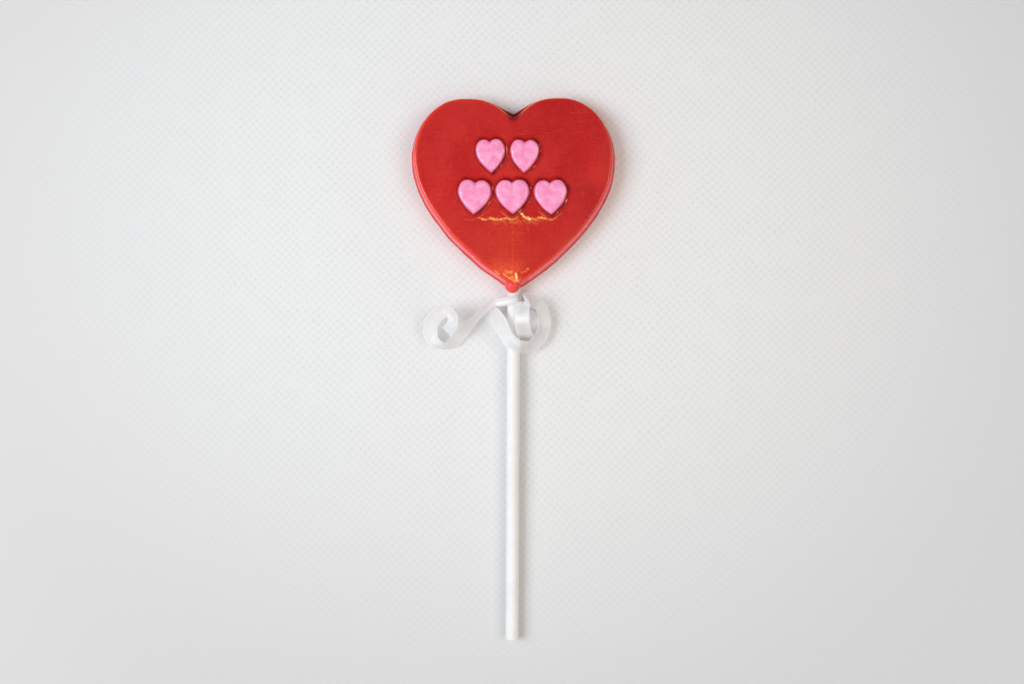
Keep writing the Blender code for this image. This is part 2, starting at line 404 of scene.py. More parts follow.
def raise_ring(outline: np.ndarray, height: float) -> np.ndarray:
    """A flat outline as points at a height."""
    return np.column_stack((outline, np.full(len(outline), height)))


def away_from(middle: np.ndarray, outline: np.ndarray) -> np.ndarray:
    """The direction from a middle to each point of a flat outline."""
    away = outline - middle
    return away / np.linalg.norm(away, axis=1)[:, None]


def shrink(outline: np.ndarray, hub: np.ndarray, spokes: int) -> list[tuple[float, np.ndarray]]:
    """Ever smaller copies of a flat outline about a hub, each after its share of the full size."""
    shares = [1.0 - spoke / spokes for spoke in range(1, spokes)]
    return [(share, hub + (outline - hub) * share) for share in shares]


# Node sheets and the effects that several finishes share.


class NodeSheet:
    """A node tree that is filled in one node at a time."""

    def __init__(self, tree: Tree) -> None:
        """Takes over an empty or fresh tree."""
        self.tree = tree

    def add(self, kind: str, inputs: Inputs | None = None, **settings: object) -> bpy.types.Node:
        """Adds a node, sets its properties by name and feeds its inputs by name or number.

        Args:
            kind: The node's type.
            inputs: What its inputs get, a socket or a value.
            settings: Its properties.

        Returns:
            The node.
        """
        node = self.tree.nodes.new(kind)
        for name, value in settings.items():
            setattr(node, name, value)
        for key, value in (inputs or {}).items():
            self.feed(node.inputs[key], value)
        return node

    def feed(self, socket: Socket, value: Value) -> None:
        """Links a socket to another, or sets it to a fixed value."""
        if isinstance(value, bpy.types.NodeSocket):
            self.tree.links.new(value, socket)
        else:
            socket.default_value = value

    def math(self, operation: str, *values: Value, clamp: bool = False) -> Socket:
        """The result of a Math node."""
        inputs = dict(enumerate(values))
        return self.add("ShaderNodeMath", inputs, operation=operation, use_clamp=clamp).outputs[0]

    def times(self, first: Value, second: Value) -> Socket:
        """The product of two numbers."""
        return self.math("MULTIPLY", first, second)

    def strongest(self, masks: Sequence[Socket]) -> Socket:
        """The highest of several masks.

        Args:
            masks: Numbers, at least one.

        Returns:
            The mask's socket.
        """
        result = masks[0]
        for mask in masks[1:]:
            result = self.math("MAXIMUM", result, mask)
        return result

    def vector(self, operation: str, *values: Value, scale: Value = 1.0) -> Socket:
        """The result of a Vector Math node, a number for products and lengths.

        Args:
            operation: What the node does.
            values: One or two vectors.
            scale: The factor of SCALE.

        Returns:
            The result's socket.
        """
        inputs = dict(enumerate(values))
        if operation == "SCALE":
            inputs["Scale"] = scale
        number = operation in ("DOT_PRODUCT", "LENGTH", "DISTANCE")
        node = self.add("ShaderNodeVectorMath", inputs, operation=operation)
        return node.outputs["Value" if number else "Vector"]

    def axes(self, vector: Socket) -> bpy.types.bpy_prop_collection:
        """A vector's numbers, by the names X, Y and Z."""
        return self.add("ShaderNodeSeparateXYZ", {0: vector}).outputs

    def remap(self, value: Socket, low: Value, high: Value, start: float = 0.0, end: float = 1.0) -> Socket:
        """A value moved smoothly from one range to another.

        Args:
            value: The value.
            low: Where the first range starts.
            high: Where it ends.
            start: Where the second range starts.
            end: Where it ends.

        Returns:
            The result's socket.
        """
        names = ("Value", "From Min", "From Max", "To Min", "To Max")
        inputs = dict(zip(names, (value, low, high, start, end)))
        return self.add("ShaderNodeMapRange", inputs, interpolation_type="SMOOTHSTEP").outputs["Result"]

    def mix(self, factor: Value, *colours: Value) -> Socket:
        """Two colours mixed by a factor."""
        first, second = [c if isinstance(c, bpy.types.NodeSocket) else (*c, 1.0) for c in colours]
        return self.add("ShaderNodeMix", {"Factor": factor, 6: first, 7: second}, data_type="RGBA").outputs[2]

    def noise(self, vector: Socket, scale: Value, detail: float = 2.0, roughness: float = 0.5) -> Socket:
        """A noise texture's value."""
        inputs = {"Vector": vector, "Scale": scale, "Detail": detail, "Roughness": roughness}
        return self.add("ShaderNodeTexNoise", inputs).outputs["Fac"]

    def pushed(self, vector: Socket, scale: float, detail: float, reach: float) -> Socket:
        """A place pushed to and fro by a noise, which makes what is drawn there wavy.

        Args:
            vector: The place.
            scale: The noise's scale.
            detail: The noise's detail.
            reach: How far the noise can push.

        Returns:
            The place to draw over.
        """
        noise_node = self.add("ShaderNodeTexNoise", {"Vector": vector, "Scale": scale, "Detail": detail})
        centred = self.vector("SUBTRACT", noise_node.outputs["Color"], (0.5, 0.5, 0.5))
        return self.vector("ADD", vector, self.vector("SCALE", centred, scale=reach))

    def mapped(self, vector: Socket, scale: Triple = (1.0, 1.0, 1.0), turn: float = 0.0) -> Socket:
        """A vector through a Mapping node, turned about Z in degrees."""
        inputs = {"Vector": vector, "Rotation": (0.0, 0.0, math.radians(turn)), "Scale": scale}
        return self.add("ShaderNodeMapping", inputs).outputs["Vector"]

    def group(self, tree: Tree, **values: Value) -> bpy.types.Node:
        """Places a shared effect and feeds its inputs, whose names are written with underscores."""
        inputs = {name.replace("_", " "): value for name, value in values.items()}
        return self.add("ShaderNodeGroup", inputs, node_tree=tree)

    def strokes(self, tree: Tree, place: Socket, rows: Rows) -> list[Socket]:
        """Masks of soft strokes on a face that is seen from above.

        Args:
            tree: The shared effect of one stroke.
            place: The vector that they are drawn over, in metres.
            rows: Both ends and the half width of each stroke in millimetres, then its strength.

        Returns:
            One mask for each row.
        """
        masks = []
        for x, y, end_x, end_y, width, strength in rows:
            start, end = (x * MM, y * MM, 0.0), (end_x * MM, end_y * MM, 0.0)
            node = self.group(tree, Vector=place, Start=start, End=end, Width=width * MM)
            masks.append(self.times(node.outputs["Mask"], strength))
        return masks

    def bump(self, height: Socket, distance: float) -> Socket:
        """A Bump node's normal for a height."""
        return self.add("ShaderNodeBump", {"Height": height, "Distance": distance}).outputs["Normal"]


class SharedEffects:
    """Shader groups that more than one finish uses, each built once."""

    def __init__(self) -> None:
        """Builds every group."""
        self.clouding = self.build_clouding()
        self.scuffs = self.build_scuffs()
        self.grain = self.build_grain()
        self.stroke = self.build_stroke()

    @staticmethod
    def open_group(name: str, inputs: dict[str, str], outputs: Iterable[str]) -> tuple:
        """Starts a group.

        Args:
            name: The group's name.
            inputs: Name and socket kind of each input.
            outputs: Name of each output, all plain numbers.

        Returns:
            The tree, its sheet, the sockets that it is given and the sockets of its results.
        """
        tree = bpy.data.node_groups.new(name, "ShaderNodeTree")
        for label, kind in inputs.items():
            tree.interface.new_socket(name=label, in_out="INPUT", socket_type=kind)
        for label in outputs:
            tree.interface.new_socket(name=label, in_out="OUTPUT", socket_type=NUMBER)
        sheet = NodeSheet(tree)
        return tree, sheet, sheet.add("NodeGroupInput").outputs, sheet.add("NodeGroupOutput").inputs

    def build_clouding(self) -> Tree:
        """Soft clouds inside boiled sugar, with a gentle relief of clouds and small flecks.

        Returns:
            The group.
        """
        inputs = {"Vector": VECTOR, "Cloud Scale": NUMBER, "Fleck Scale": NUMBER}
        tree, sheet, given, result = self.open_group("sugar_clouding", inputs, ("Cloud", "Relief"))
        wide = sheet.noise(given["Vector"], given["Cloud Scale"], 3.0, 0.55)
        fine = sheet.noise(given["Vector"], given["Fleck Scale"], 2.0, 0.6)
        sheet.feed(result["Cloud"], sheet.remap(wide, 0.3, 0.7))
        sheet.feed(result["Relief"], sheet.math("MULTIPLY_ADD", fine, 0.25, wide))
        return tree

    def build_scuffs(self) -> Tree:
        """Thin broken streaks along one direction, as from unmoulding and wrapping.

        Returns:
            The group.
        """
        inputs = {"Vector": VECTOR, "Scale": NUMBER, "Amount": NUMBER}
        tree, sheet, given, result = self.open_group("fine_scuffs", inputs, ("Scuff",))
        drawn = sheet.mapped(given["Vector"], scale=(0.06, 1.0, 0.3))
        streak = sheet.remap(sheet.noise(drawn, given["Scale"], 4.0, 0.7), 0.56, 0.68)
        patch = sheet.remap(sheet.noise(given["Vector"], 160.0, 1.0), 0.42, 0.62)
        sheet.feed(result["Scuff"], sheet.times(sheet.times(streak, patch), given["Amount"]))
        return tree

    def build_grain(self) -> Tree:
        """Fibre grain: a tone and a height that vary along and across the fibres.

        Returns:
            The group.
        """
        inputs = {"Vector": VECTOR, "Scale": NUMBER, "Stretch": VECTOR}
        tree, sheet, given, result = self.open_group("fibre_grain", inputs, ("Tone", "Height"))
        drawn = sheet.vector("MULTIPLY", given["Vector"], given["Stretch"])
        fibre = sheet.noise(drawn, given["Scale"], 4.0, 0.65)
        slow = sheet.noise(given["Vector"], 90.0, 2.0)
        sheet.feed(result["Tone"], sheet.math("MULTIPLY_ADD", slow, 0.5, sheet.times(fibre, 0.5)))
        sheet.feed(result["Height"], fibre)
        return tree

    def build_stroke(self) -> Tree:
        """One soft stroke between two places, for a face that is seen from above.

        Returns:
            The group.
        """
        inputs = {"Vector": VECTOR, "Start": VECTOR, "End": VECTOR, "Width": NUMBER}
        tree, sheet, given, result = self.open_group("soft_stroke", inputs, ("Mask",))
        flat = sheet.vector("MULTIPLY", given["Vector"], (1.0, 1.0, 0.0))
        reach = sheet.vector("SUBTRACT", flat, given["Start"])
        whole = sheet.vector("SUBTRACT", given["End"], given["Start"])
        length_squared = sheet.math("ADD", sheet.vector("DOT_PRODUCT", whole, whole), 1e-12)
        share = sheet.math("DIVIDE", sheet.vector("DOT_PRODUCT", reach, whole), length_squared, clamp=True)
        nearest = sheet.vector("SCALE", whole, scale=share)
        away = sheet.vector("LENGTH", sheet.vector("SUBTRACT", reach, nearest))
        sheet.feed(result["Mask"], sheet.remap(away, given["Width"], 0.0))
        return tree


class Finish:
    """A named material that starts with a Principled shader and Object coordinates."""

    def __init__(self, name: str) -> None:
        """Makes the material and its first nodes.

        Args:
            name: The material's name.
        """
        self.material = bpy.data.materials.new(name)
        self.material.use_nodes = True
        self.sheet = NodeSheet(self.material.node_tree)
        self.shader = self.material.node_tree.nodes["Principled BSDF"]
        self.output = self.material.node_tree.nodes["Material Output"]
        self.place = self.sheet.add("ShaderNodeTexCoord").outputs["Object"]

    def mark(self, mark: Mark) -> Socket:
        """A mesh's mask as a number."""
        return self.sheet.add("ShaderNodeAttribute", attribute_name=mark.value).outputs["Fac"]

    def set(self, **values: Value) -> None:
        """Feeds the shader's inputs, whose names are written with underscores."""
        for name, value in values.items():
            self.sheet.feed(self.shader.inputs[name.replace("_", " ")], value)


@dataclass(frozen=True)
class RedCandy:
    """Red boiled sugar: cloudy and finely scuffed on its face, with painted glow in its edge and at its tip.

    Strokes are rows as NodeSheet.strokes takes them: painted glints, glow, washes and smear, and scratches.
    The painted line of light below the ornaments, gathered, has points in millimetres, each with the half
    width and the strength of the stroke that ends there. Leftward, upward and downward are painted fades of
    light and shade along
    an axis: where they start and end, and the share that they reach.
    """

    deep: Colour = (0.44, 0.0068, 0.0085)
    light: Colour = (0.57, 0.0135, 0.012)
    # Painted light: the face's lower part lighter and more orange towards the tip.
    painted_low_glow: Colour = (0.545, 0.0225, 0.013)
    # Orange-red used for the painted glow near the tip, and for scuffs, mottle and scratches.
    tip: Colour = (0.82, 0.095, 0.038)
    # Painted glow: the rounded edge coloured brighter.
    painted_edge_glow: Colour = (0.84, 0.035, 0.016)
    # Painted glow: the wall coloured brighter than the face, as if lit through.
    wall: Colour = (0.93, 0.047, 0.055)
    # Painted glow of light through thin candy, at the lip and the bead.
    thin: Colour = (0.93, 0.085, 0.09)
    # Painted shade: a dark red for recesses and the shaded notch.
    moat: Colour = (0.15, 0.0025, 0.004)
    # Colours of the painted glints: orange, turning yellow where brightest.
    orange: Colour = (0.95, 0.30, 0.07)
    yellow: Colour = (1.0, 0.74, 0.36)
    face_gloss: Pair = (0.17, 0.33)
    cloud_scale: float = 75.0
    fleck_scale: float = 900.0
    relief: float = 0.06 * MM
    wall_roughness: float = 0.13
    matt_roughness: float = 0.5
    matt_loss: float = 0.42
    # Painted fades of light and shade: lighter towards the left, where the key light is, darker towards the
    # top, lighter and more orange towards the tip.
    leftward: Triple = (30.0 * MM, -28.0 * MM, 0.5)
    upward: Triple = (66.0 * MM, 90.0 * MM, 0.42)
    downward: Triple = (56.0 * MM, 34.0 * MM, 0.7)
    scuff_share: float = 0.32
    mottle_share: float = 0.17
    scratch_share: float = 0.5
    ripple_scale: float = 650.0
    ripple_reach: float = 0.8 * MM
    mottle_noise: Triple = (1500.0, 3.0, 0.65)
    broken_noise: Triple = (1100.0, 3.0, 0.6)
    along_scuffs: Pair = (2600.0, 0.8)
    across_scuffs: Pair = (2900.0, 0.5)
    # Painted glints of light near the tip.
    glints: Rows = (
        (1.0, 31.6, 1.5, 29.2, 0.72, 1.2), (-3.0, 31.7, -1.7, 30.3, 0.62, 0.8),
        (-1.7, 30.3, -0.3, 29.5, 0.62, 0.85), (-2.2, 32.3, -0.7, 31.9, 1.25, 0.75),
        (-0.2, 30.3, 0.6, 29.0, 1.1, 0.9), (1.8, 28.9, 2.4, 29.8, 0.7, 0.6),
        (3.0, 31.9, 4.3, 32.4, 0.65, 0.5), (4.8, 32.9, 5.0, 33.0, 0.7, 0.6),
        (-6.0, 32.5, -4.7, 31.3, 0.6, 0.65),
    )
    # The painted line of light below the lower hearts.
    gathered: Rows = (
        (-16.0, 49.5, 0.0, 0.0), (-13.8, 49.0, 0.4, 0.35), (-11.4, 49.9, 0.4, 0.3),
        (-10.3, 49.4, 0.55, 0.6), (-8.9, 49.3, 0.65, 0.75), (-7.6, 49.8, 0.6, 0.7),
        (-6.3, 49.4, 0.75, 0.85), (-3.8, 49.4, 0.8, 0.9), (-2.2, 49.8, 0.6, 0.65), (-1.2, 49.4, 0.65, 0.7),
        (0.7, 49.4, 0.7, 0.75), (1.7, 49.7, 0.5, 0.5), (2.7, 51.3, 0.3, 0.15), (4.0, 50.2, 0.75, 1.1),
        (5.5, 49.5, 0.95, 1.15), (7.4, 49.4, 0.8, 1.0), (9.3, 49.9, 0.65, 0.85), (10.8, 49.6, 0.65, 0.85),
        (13.2, 49.3, 0.45, 0.45), (15.0, 49.6, 0.4, 0.2),
    )
    # A painted smear of light below the lower hearts.
    smear: Rows = ((-6.0, 48.8, 9.0, 48.7, 2.0, 0.36),)
    # Painted washes of light and shade: lighter and darker patches over the face.
    washes: Rows = (
        (21.0, 82.0, 27.0, 65.0, 6.5, 0.4), (23.0, 59.0, 26.0, 53.0, 8.0, -0.35),
        (-25.0, 75.0, -20.0, 70.0, 9.0, -0.25), (9.0, 84.5, 15.0, 82.0, 7.0, 0.25),
    )
    # Painted glow of light through the candy near the tip; the last stroke takes part of it away again.
    glows: Rows = (
        (-3.6, 30.8, 0.2, 30.2, 8.8, 0.64), (-2.2, 45.0, -2.0, 34.0, 9.0, 0.16),
        (3.4, 31.0, 6.5, 32.8, 3.6, -0.4),
    )
    scratches: Rows = (
        (-0.05, 31.5, -0.15, 49.0, 0.36, 1.3), (5.0, 38.0, 5.2, 48.0, 0.30, 0.6),
        (-4.4, 34.0, -3.7, 40.5, 0.30, 1.0), (21.3, 60.9, 23.2, 57.2, 0.22, 1.0),
        (23.2, 57.2, 23.6, 60.0, 0.18, 1.0), (-6.0, 46.1, -1.0, 46.2, 0.16, 1.0),
        (-0.5, 44.4, 4.5, 44.5, 0.16, 1.0), (15.8, 47.7, 16.2, 48.0, 0.28, 1.0),
        (17.0, 42.2, 17.1, 42.3, 0.30, 1.0), (-3.5, 36.2, -3.4, 36.3, 0.30, 1.0),
    )

    def build(self, effects: SharedEffects) -> Material:
        """Makes the material.

        Args:
            effects: The shared groups.

        Returns:
            The finished material.
        """
        finish = Finish("red_boiled_sugar")
        sheet = finish.sheet
        scales = {"Cloud_Scale": self.cloud_scale, "Fleck_Scale": self.fleck_scale}
        cloud = sheet.group(effects.clouding, Vector=finish.place, **scales)
        scuffs = self.scuffs(finish, effects)
        haze = sheet.remap(cloud.outputs["Relief"], 0.35, 0.85, *self.face_gloss)
        haze = sheet.math("MULTIPLY_ADD", scuffs, 0.12, haze)
        matt = finish.mark(Mark.MATT)
        for mark, roughness in ((finish.mark(Mark.WALL), self.wall_roughness), (matt, self.matt_roughness)):
            change = sheet.times(mark, sheet.math("SUBTRACT", roughness, haze))
            haze = sheet.math("ADD", haze, change)
        relief = sheet.math("MULTIPLY_ADD", scuffs, 0.08, cloud.outputs["Relief"])
        finish.set(
            Base_Color=self.colour(finish, effects, cloud.outputs["Cloud"], scuffs),
            Roughness=haze,
            IOR=SUGAR_IOR,
            Specular_IOR_Level=sheet.math("MULTIPLY_ADD", matt, -self.matt_loss, 0.5),
            Normal=sheet.bump(relief, self.relief),
        )
        return finish.material

    def scuffs(self, finish: Finish, effects: SharedEffects) -> Socket:
        """Faint streaks along and across the face.

        Args:
            finish: The material being made.
            effects: The shared groups.

        Returns:
            The streaks' mask.
        """
        sheet = finish.sheet
        masks = []
        crossed = sheet.mapped(finish.place, turn=90.0)
        for vector, (scale, amount) in ((finish.place, self.along_scuffs), (crossed, self.across_scuffs)):
            node = sheet.group(effects.scuffs, Vector=vector, Scale=scale, Amount=amount)
            masks.append(node.outputs["Scuff"])
        return sheet.strongest(masks)

    @staticmethod
    def fade(finish: Finish, axis: str, ends: Triple) -> Socket:
        """A fade along an axis, given by its start, its end and the share that it reaches."""
        start, end, share = ends
        return finish.sheet.remap(finish.sheet.axes(finish.place)[axis], start, end, 0.0, share)

    def lightness(self, finish: Finish, effects: SharedEffects, cloud: Socket) -> Socket:
        """How light the body is, from its clouds and the painted fades and washes of light and shade.

        Args:
            finish: The material being made.
            effects: The shared groups.
            cloud: The clouds' mask.

        Returns:
            The share of the light colour.
        """
        sheet = finish.sheet
        left, up = self.fade(finish, "X", self.leftward), self.fade(finish, "Y", self.upward)
        lighter = sheet.math("MULTIPLY_ADD", cloud, 0.5, sheet.math("SUBTRACT", left, up))
        for wash in sheet.strokes(effects.stroke, finish.place, self.washes):
            lighter = sheet.math("ADD", lighter, wash)
        return lighter

    def lit(
        self, finish: Finish, effects: SharedEffects, wavy: Socket, mottle: Socket, broken: Socket
    ) -> Socket:
        """Where light is painted shining out of the candy.

        Args:
            finish: The material being made.
            effects: The shared groups.
            wavy: The place, pushed to and fro.
            mottle: A fine noise.
            broken: A coarser noise with hard edges.

        Returns:
            The painted light's mask.
        """
        sheet = finish.sheet
        bright = sheet.strongest(sheet.strokes(effects.stroke, wavy, (*self.glints, *self.line())))
        bright = sheet.times(bright, sheet.math("MULTIPLY_ADD", broken, 0.45, 0.5))
        smear = sheet.strokes(effects.stroke, wavy, self.smear)[0]
        smear = sheet.times(smear, sheet.remap(mottle, 0.35, 0.65))
        lit = sheet.strongest((bright, smear, finish.mark(Mark.GLINT)))
        return sheet.times(lit, sheet.math("SUBTRACT", 1.0, finish.mark(Mark.THIN), clamp=True))

    def colour(self, finish: Finish, effects: SharedEffects, cloud: Socket, scuffs: Socket) -> Socket:
        """The colour, from the clouded body to its painted light and shade, marks and strokes.

        Args:
            finish: The material being made.
            effects: The shared groups.
            cloud: The clouds' mask.
            scuffs: The streaks' mask.

        Returns:
            The colour's socket.
        """
        sheet, place, stroke = finish.sheet, finish.place, effects.stroke
        mottle = sheet.noise(place, *self.mottle_noise)
        broken = sheet.remap(sheet.noise(place, *self.broken_noise), 0.38, 0.62)
        wavy = sheet.pushed(place, self.ripple_scale, 1.0, self.ripple_reach)
        # Painted glow near the tip.
        glows = sheet.strokes(stroke, place, self.glows)
        glow = sheet.math("ADD", sheet.math("ADD", *glows[:2]), glows[2], clamp=True)
        worn = sheet.times(sheet.strongest(sheet.strokes(stroke, wavy, self.scratches)), broken)
        # The body with its painted fades and washes of light and shade.
        body = sheet.mix(self.lightness(finish, effects, cloud), self.deep, self.light)
        layers = (
            # Painted light on the lower face.
            (self.fade(finish, "Y", self.downward), self.painted_low_glow),
            (sheet.times(scuffs, self.scuff_share), self.tip),
            (sheet.remap(mottle, 0.45, 0.75, 0.0, self.mottle_share), self.tip),
            # Painted glow near the tip.
            (sheet.times(glow, sheet.remap(mottle, 0.25, 0.7, 0.35, 1.5)), self.tip),
            # Painted glow along the edge.
            (sheet.times(finish.mark(Mark.EDGE), sheet.remap(mottle, 0.3, 0.65, 0.55, 1.0)), self.painted_edge_glow),
            # Painted glow of the wall.
            (finish.mark(Mark.WALL), self.wall),
            # Painted glow of the thin lip and the bead.
            (finish.mark(Mark.THIN), self.thin),
            # Painted shade in recesses and the notch.
            (finish.mark(Mark.MOAT), self.moat),
            (sheet.times(worn, self.scratch_share), self.tip),
        )
        for factor, colour in layers:
            body = sheet.mix(factor, body, colour)
        lit = self.lit(finish, effects, wavy, mottle, broken)
        # Painted glints, orange and yellow where brightest.
        body = sheet.mix(sheet.remap(lit, 0.02, 0.75), body, self.orange)
        return sheet.mix(sheet.remap(lit, 0.5, 1.0), body, self.yellow)

    def line(self) -> Rows:
        """The strokes of the scalloped line of light below the ornaments."""
        return tuple((*start[:2], *end) for start, end in zip(self.gathered, self.gathered[1:]))


@dataclass(frozen=True)
class PinkCandy:
    """Opaque pink boiled sugar, glossy and a little mottled, with painted shade on its rounded sides."""

    colour: Colour = (0.915, 0.258, 0.475)
    pale: Colour = (0.978, 0.395, 0.64)
    # Painted shade on the caps' rounded sides.
    deep: Colour = (0.80, 0.12, 0.30)
    cloud_scale: float = 420.0
    fleck_scale: float = 2200.0
    gloss: Pair = (0.08, 0.18)
    relief: float = 0.22 * MM

    def build(self, effects: SharedEffects) -> Material:
        """Makes the material.

        Args:
            effects: The shared groups.

        Returns:
            The finished material.
        """
        finish = Finish("pink_boiled_sugar")
        sheet = finish.sheet
        scales = {"Cloud_Scale": self.cloud_scale, "Fleck_Scale": self.fleck_scale}
        cloud = sheet.group(effects.clouding, Vector=finish.place, **scales)
        scuffs = sheet.group(effects.scuffs, Vector=finish.place, Scale=3800.0, Amount=0.7).outputs["Scuff"]
        body = sheet.mix(cloud.outputs["Cloud"], self.colour, self.pale)
        # Painted shade: the caps' rounded sides darker.
        body = sheet.mix(finish.mark(Mark.WALL), body, self.deep)
        haze = sheet.remap(cloud.outputs["Relief"], 0.35, 0.85, *self.gloss)
        finish.set(
            Base_Color=body,
            Roughness=sheet.math("MULTIPLY_ADD", scuffs, 0.1, haze),
            IOR=SUGAR_IOR,
            Normal=sheet.bump(cloud.outputs["Relief"], self.relief),
        )
        return finish.material


@dataclass(frozen=True)
class RolledPaper:
    """White paper rolled tight, matte with a faint grain along the stick.

    Next to the candy it has painted red bounce light and shade.
    """

    colour: Colour = (0.87, 0.865, 0.85)
    worn: Colour = (0.82, 0.81, 0.785)
    # Painted red bounce light and shade on the paper next to the candy.
    painted_bounce_and_shade: Colour = (0.80, 0.70, 0.68)
    painted_bounce_span: Pair = (22.8 * MM, 24.6 * MM)
    roughness: Pair = (0.5, 0.65)
    relief: float = 0.03 * MM

    def build(self, effects: SharedEffects) -> Material:
        """Makes the material.

        Args:
            effects: The shared groups.

        Returns:
            The finished material.
        """
        finish = Finish("white_rolled_paper")
        sheet = finish.sheet
        grain = sheet.group(effects.grain, Vector=finish.place, Scale=3000.0, Stretch=(1.0, 0.12, 1.0))
        tone = sheet.remap(grain.outputs["Tone"], 0.35, 0.65)
        # Painted red bounce light and shade towards the candy.
        near = sheet.remap(sheet.axes(finish.place)["Y"], *self.painted_bounce_span)
        finish.set(
            Base_Color=sheet.mix(near, sheet.mix(tone, self.colour, self.worn), self.painted_bounce_and_shade),
            Roughness=sheet.remap(grain.outputs["Height"], 0.3, 0.7, *self.roughness),
            Normal=sheet.bump(grain.outputs["Height"], self.relief),
        )
        return finish.material


@dataclass(frozen=True)
class SatinFilm:
    """Thin white satin that lets some light through, finely ribbed along its length.

    In places it has painted sheen, where it is made more opaque and less translucent.
    """

    colour: Colour = (0.95, 0.945, 0.955)
    rib: Colour = (0.90, 0.895, 0.915)
    ribs: float = 46.0
    opacity: Pair = (0.44, 0.8)
    shade: float = 0.75
    cast: float = 0.3
    passed: Colour = (0.96, 0.95, 0.96)
    roughness: Pair = (0.26, 0.4)
    relief: float = 0.012 * MM
    # Painted sheen: strokes where the film is more opaque and less translucent, so that it shows brighter.
    painted_sheen: Rows = (
        (-4.5, 21.9, 1.6, 22.3, 2.8, 1.0), (1.6, 16.6, 4.6, 16.8, 3.4, 0.95),
        (10.8, 15.5, 8.8, 21.0, 3.6, 0.9), (-26.4, 9.6, -22.5, 8.4, 3.4, 0.75),
        (-22.4, 19.0, -20.3, 16.5, 3.2, 0.65), (-0.8, 10.6, 2.0, 8.2, 3.2, 0.6),
    )

    def build(self, effects: SharedEffects) -> Material:
        """Makes the material.

        Args:
            effects: The shared groups.

        Returns:
            The finished material.
        """
        finish = Finish("white_satin_film")
        sheet = finish.sheet
        flat = sheet.add("ShaderNodeTexCoord").outputs["UV"]
        inputs = {"Vector": flat, "Scale": self.ribs / 2.0 / math.pi, "Distortion": 0.6}
        lines = sheet.add("ShaderNodeTexWave", inputs, wave_type="BANDS", bands_direction="X")
        grain = sheet.group(effects.grain, Vector=flat, Scale=60.0, Stretch=(2.0, 0.4, 1.0))
        height = sheet.math("MULTIPLY_ADD", grain.outputs["Height"], 0.6, lines.outputs["Fac"])
        off_middle = sheet.math("ABSOLUTE", sheet.math("SUBTRACT", sheet.axes(flat)["X"], 0.5))
        # Painted sheen where the film shows brighter.
        painted_sheen = sheet.strongest(sheet.strokes(effects.stroke, finish.place, self.painted_sheen))
        opacity = sheet.math("MAXIMUM", sheet.remap(off_middle, 0.38, 0.5, *self.opacity), painted_sheen)
        shadow = sheet.add("ShaderNodeLightPath").outputs["Is Shadow Ray"]
        lost = sheet.math("MULTIPLY_ADD", shadow, self.shade - 1.0, 1.0)
        finish.set(
            Base_Color=sheet.mix(sheet.remap(height, 0.3, 1.2), self.rib, self.colour),
            Roughness=sheet.remap(grain.outputs["Height"], 0.3, 0.7, *self.roughness),
            Normal=sheet.bump(height, self.relief),
            Alpha=sheet.times(opacity, lost),
        )
        through = sheet.add("ShaderNodeBsdfTranslucent", {"Color": (*self.passed, 1.0)})
        share = sheet.math("MULTIPLY_ADD", painted_sheen, -self.cast, self.cast)
        inputs = {"Fac": share, 1: finish.shader.outputs["BSDF"], 2: through.outputs["BSDF"]}
        shader = sheet.add("ShaderNodeMixShader", inputs).outputs["Shader"]
        sheet.feed(finish.output.inputs["Surface"], shader)
        return finish.material


@dataclass(frozen=True)
class TableCloth:
    """The pale cloth under the lollipop, with a staggered weave of fine dimples.

    Away from the middle it has painted falloff of the light: darker, warmer at left and cooler at right.
    """

    colour: Colour = (0.775, 0.775, 0.78)
    hollow: Colour = (0.718, 0.718, 0.723)
    # Painted falloff of the light: darker cloth away from the middle, warmer on the left and cooler on the
    # right.
    painted_falloff_left: Colour = (0.640, 0.622, 0.624)
    painted_falloff_right: Colour = (0.648, 0.652, 0.682)
    pitch: float = 2.78 * MM
    middle: Triple = (0.0, 58.0 * MM, 0.0)
    # Where the painted falloff starts and ends, and the span across which its tint turns.
    reach: Pair = (60.0 * MM, 205.0 * MM)
    sides: Pair = (-150.0 * MM, 150.0 * MM)
    drift: float = 4.0 * MM
    roughness: Pair = (0.8, 0.95)
    relief: float = 0.02 * MM

    def build(self, effects: SharedEffects) -> Material:
        """Makes the material.

        Args:
            effects: The shared groups.

        Returns:
            The finished material.
        """
        finish = Finish("pale_dimpled_cloth")
        sheet = finish.sheet
        pulled = sheet.axes(sheet.pushed(finish.place, 60.0, 2.0, self.drift))
        turn = 2.0 * math.pi / self.pitch
        waves = [sheet.math("COSINE", sheet.times(pulled[name], turn)) for name in ("X", "Y")]
        dimples = sheet.remap(sheet.times(*waves), -0.25, 1.0)
        patchy = sheet.remap(sheet.noise(finish.place, 110.0, 1.0), 0.3, 0.65, 0.4, 1.0)
        grain = sheet.group(effects.grain, Vector=finish.place, Scale=900.0, Stretch=(1.0, 1.0, 1.0))
        nap = sheet.times(grain.outputs["Height"], 1.6)
        height = sheet.math("MULTIPLY_ADD", sheet.times(dimples, patchy), -0.8, nap)
        away = sheet.vector("DISTANCE", finish.place, self.middle)
        weave = sheet.mix(sheet.remap(height, 0.15, 0.85), self.hollow, self.colour)
        # Painted falloff of the light towards the far cloth.
        painted_falloff = sheet.mix(sheet.remap(pulled["X"], *self.sides), self.painted_falloff_left, self.painted_falloff_right)
        finish.set(
            Base_Color=sheet.mix(sheet.remap(away, *self.reach), weave, painted_falloff),
            Roughness=sheet.remap(grain.outputs["Height"], 0.3, 0.7, *self.roughness),
            Normal=sheet.bump(height, self.relief),
        )
        return finish.material


# The candy.


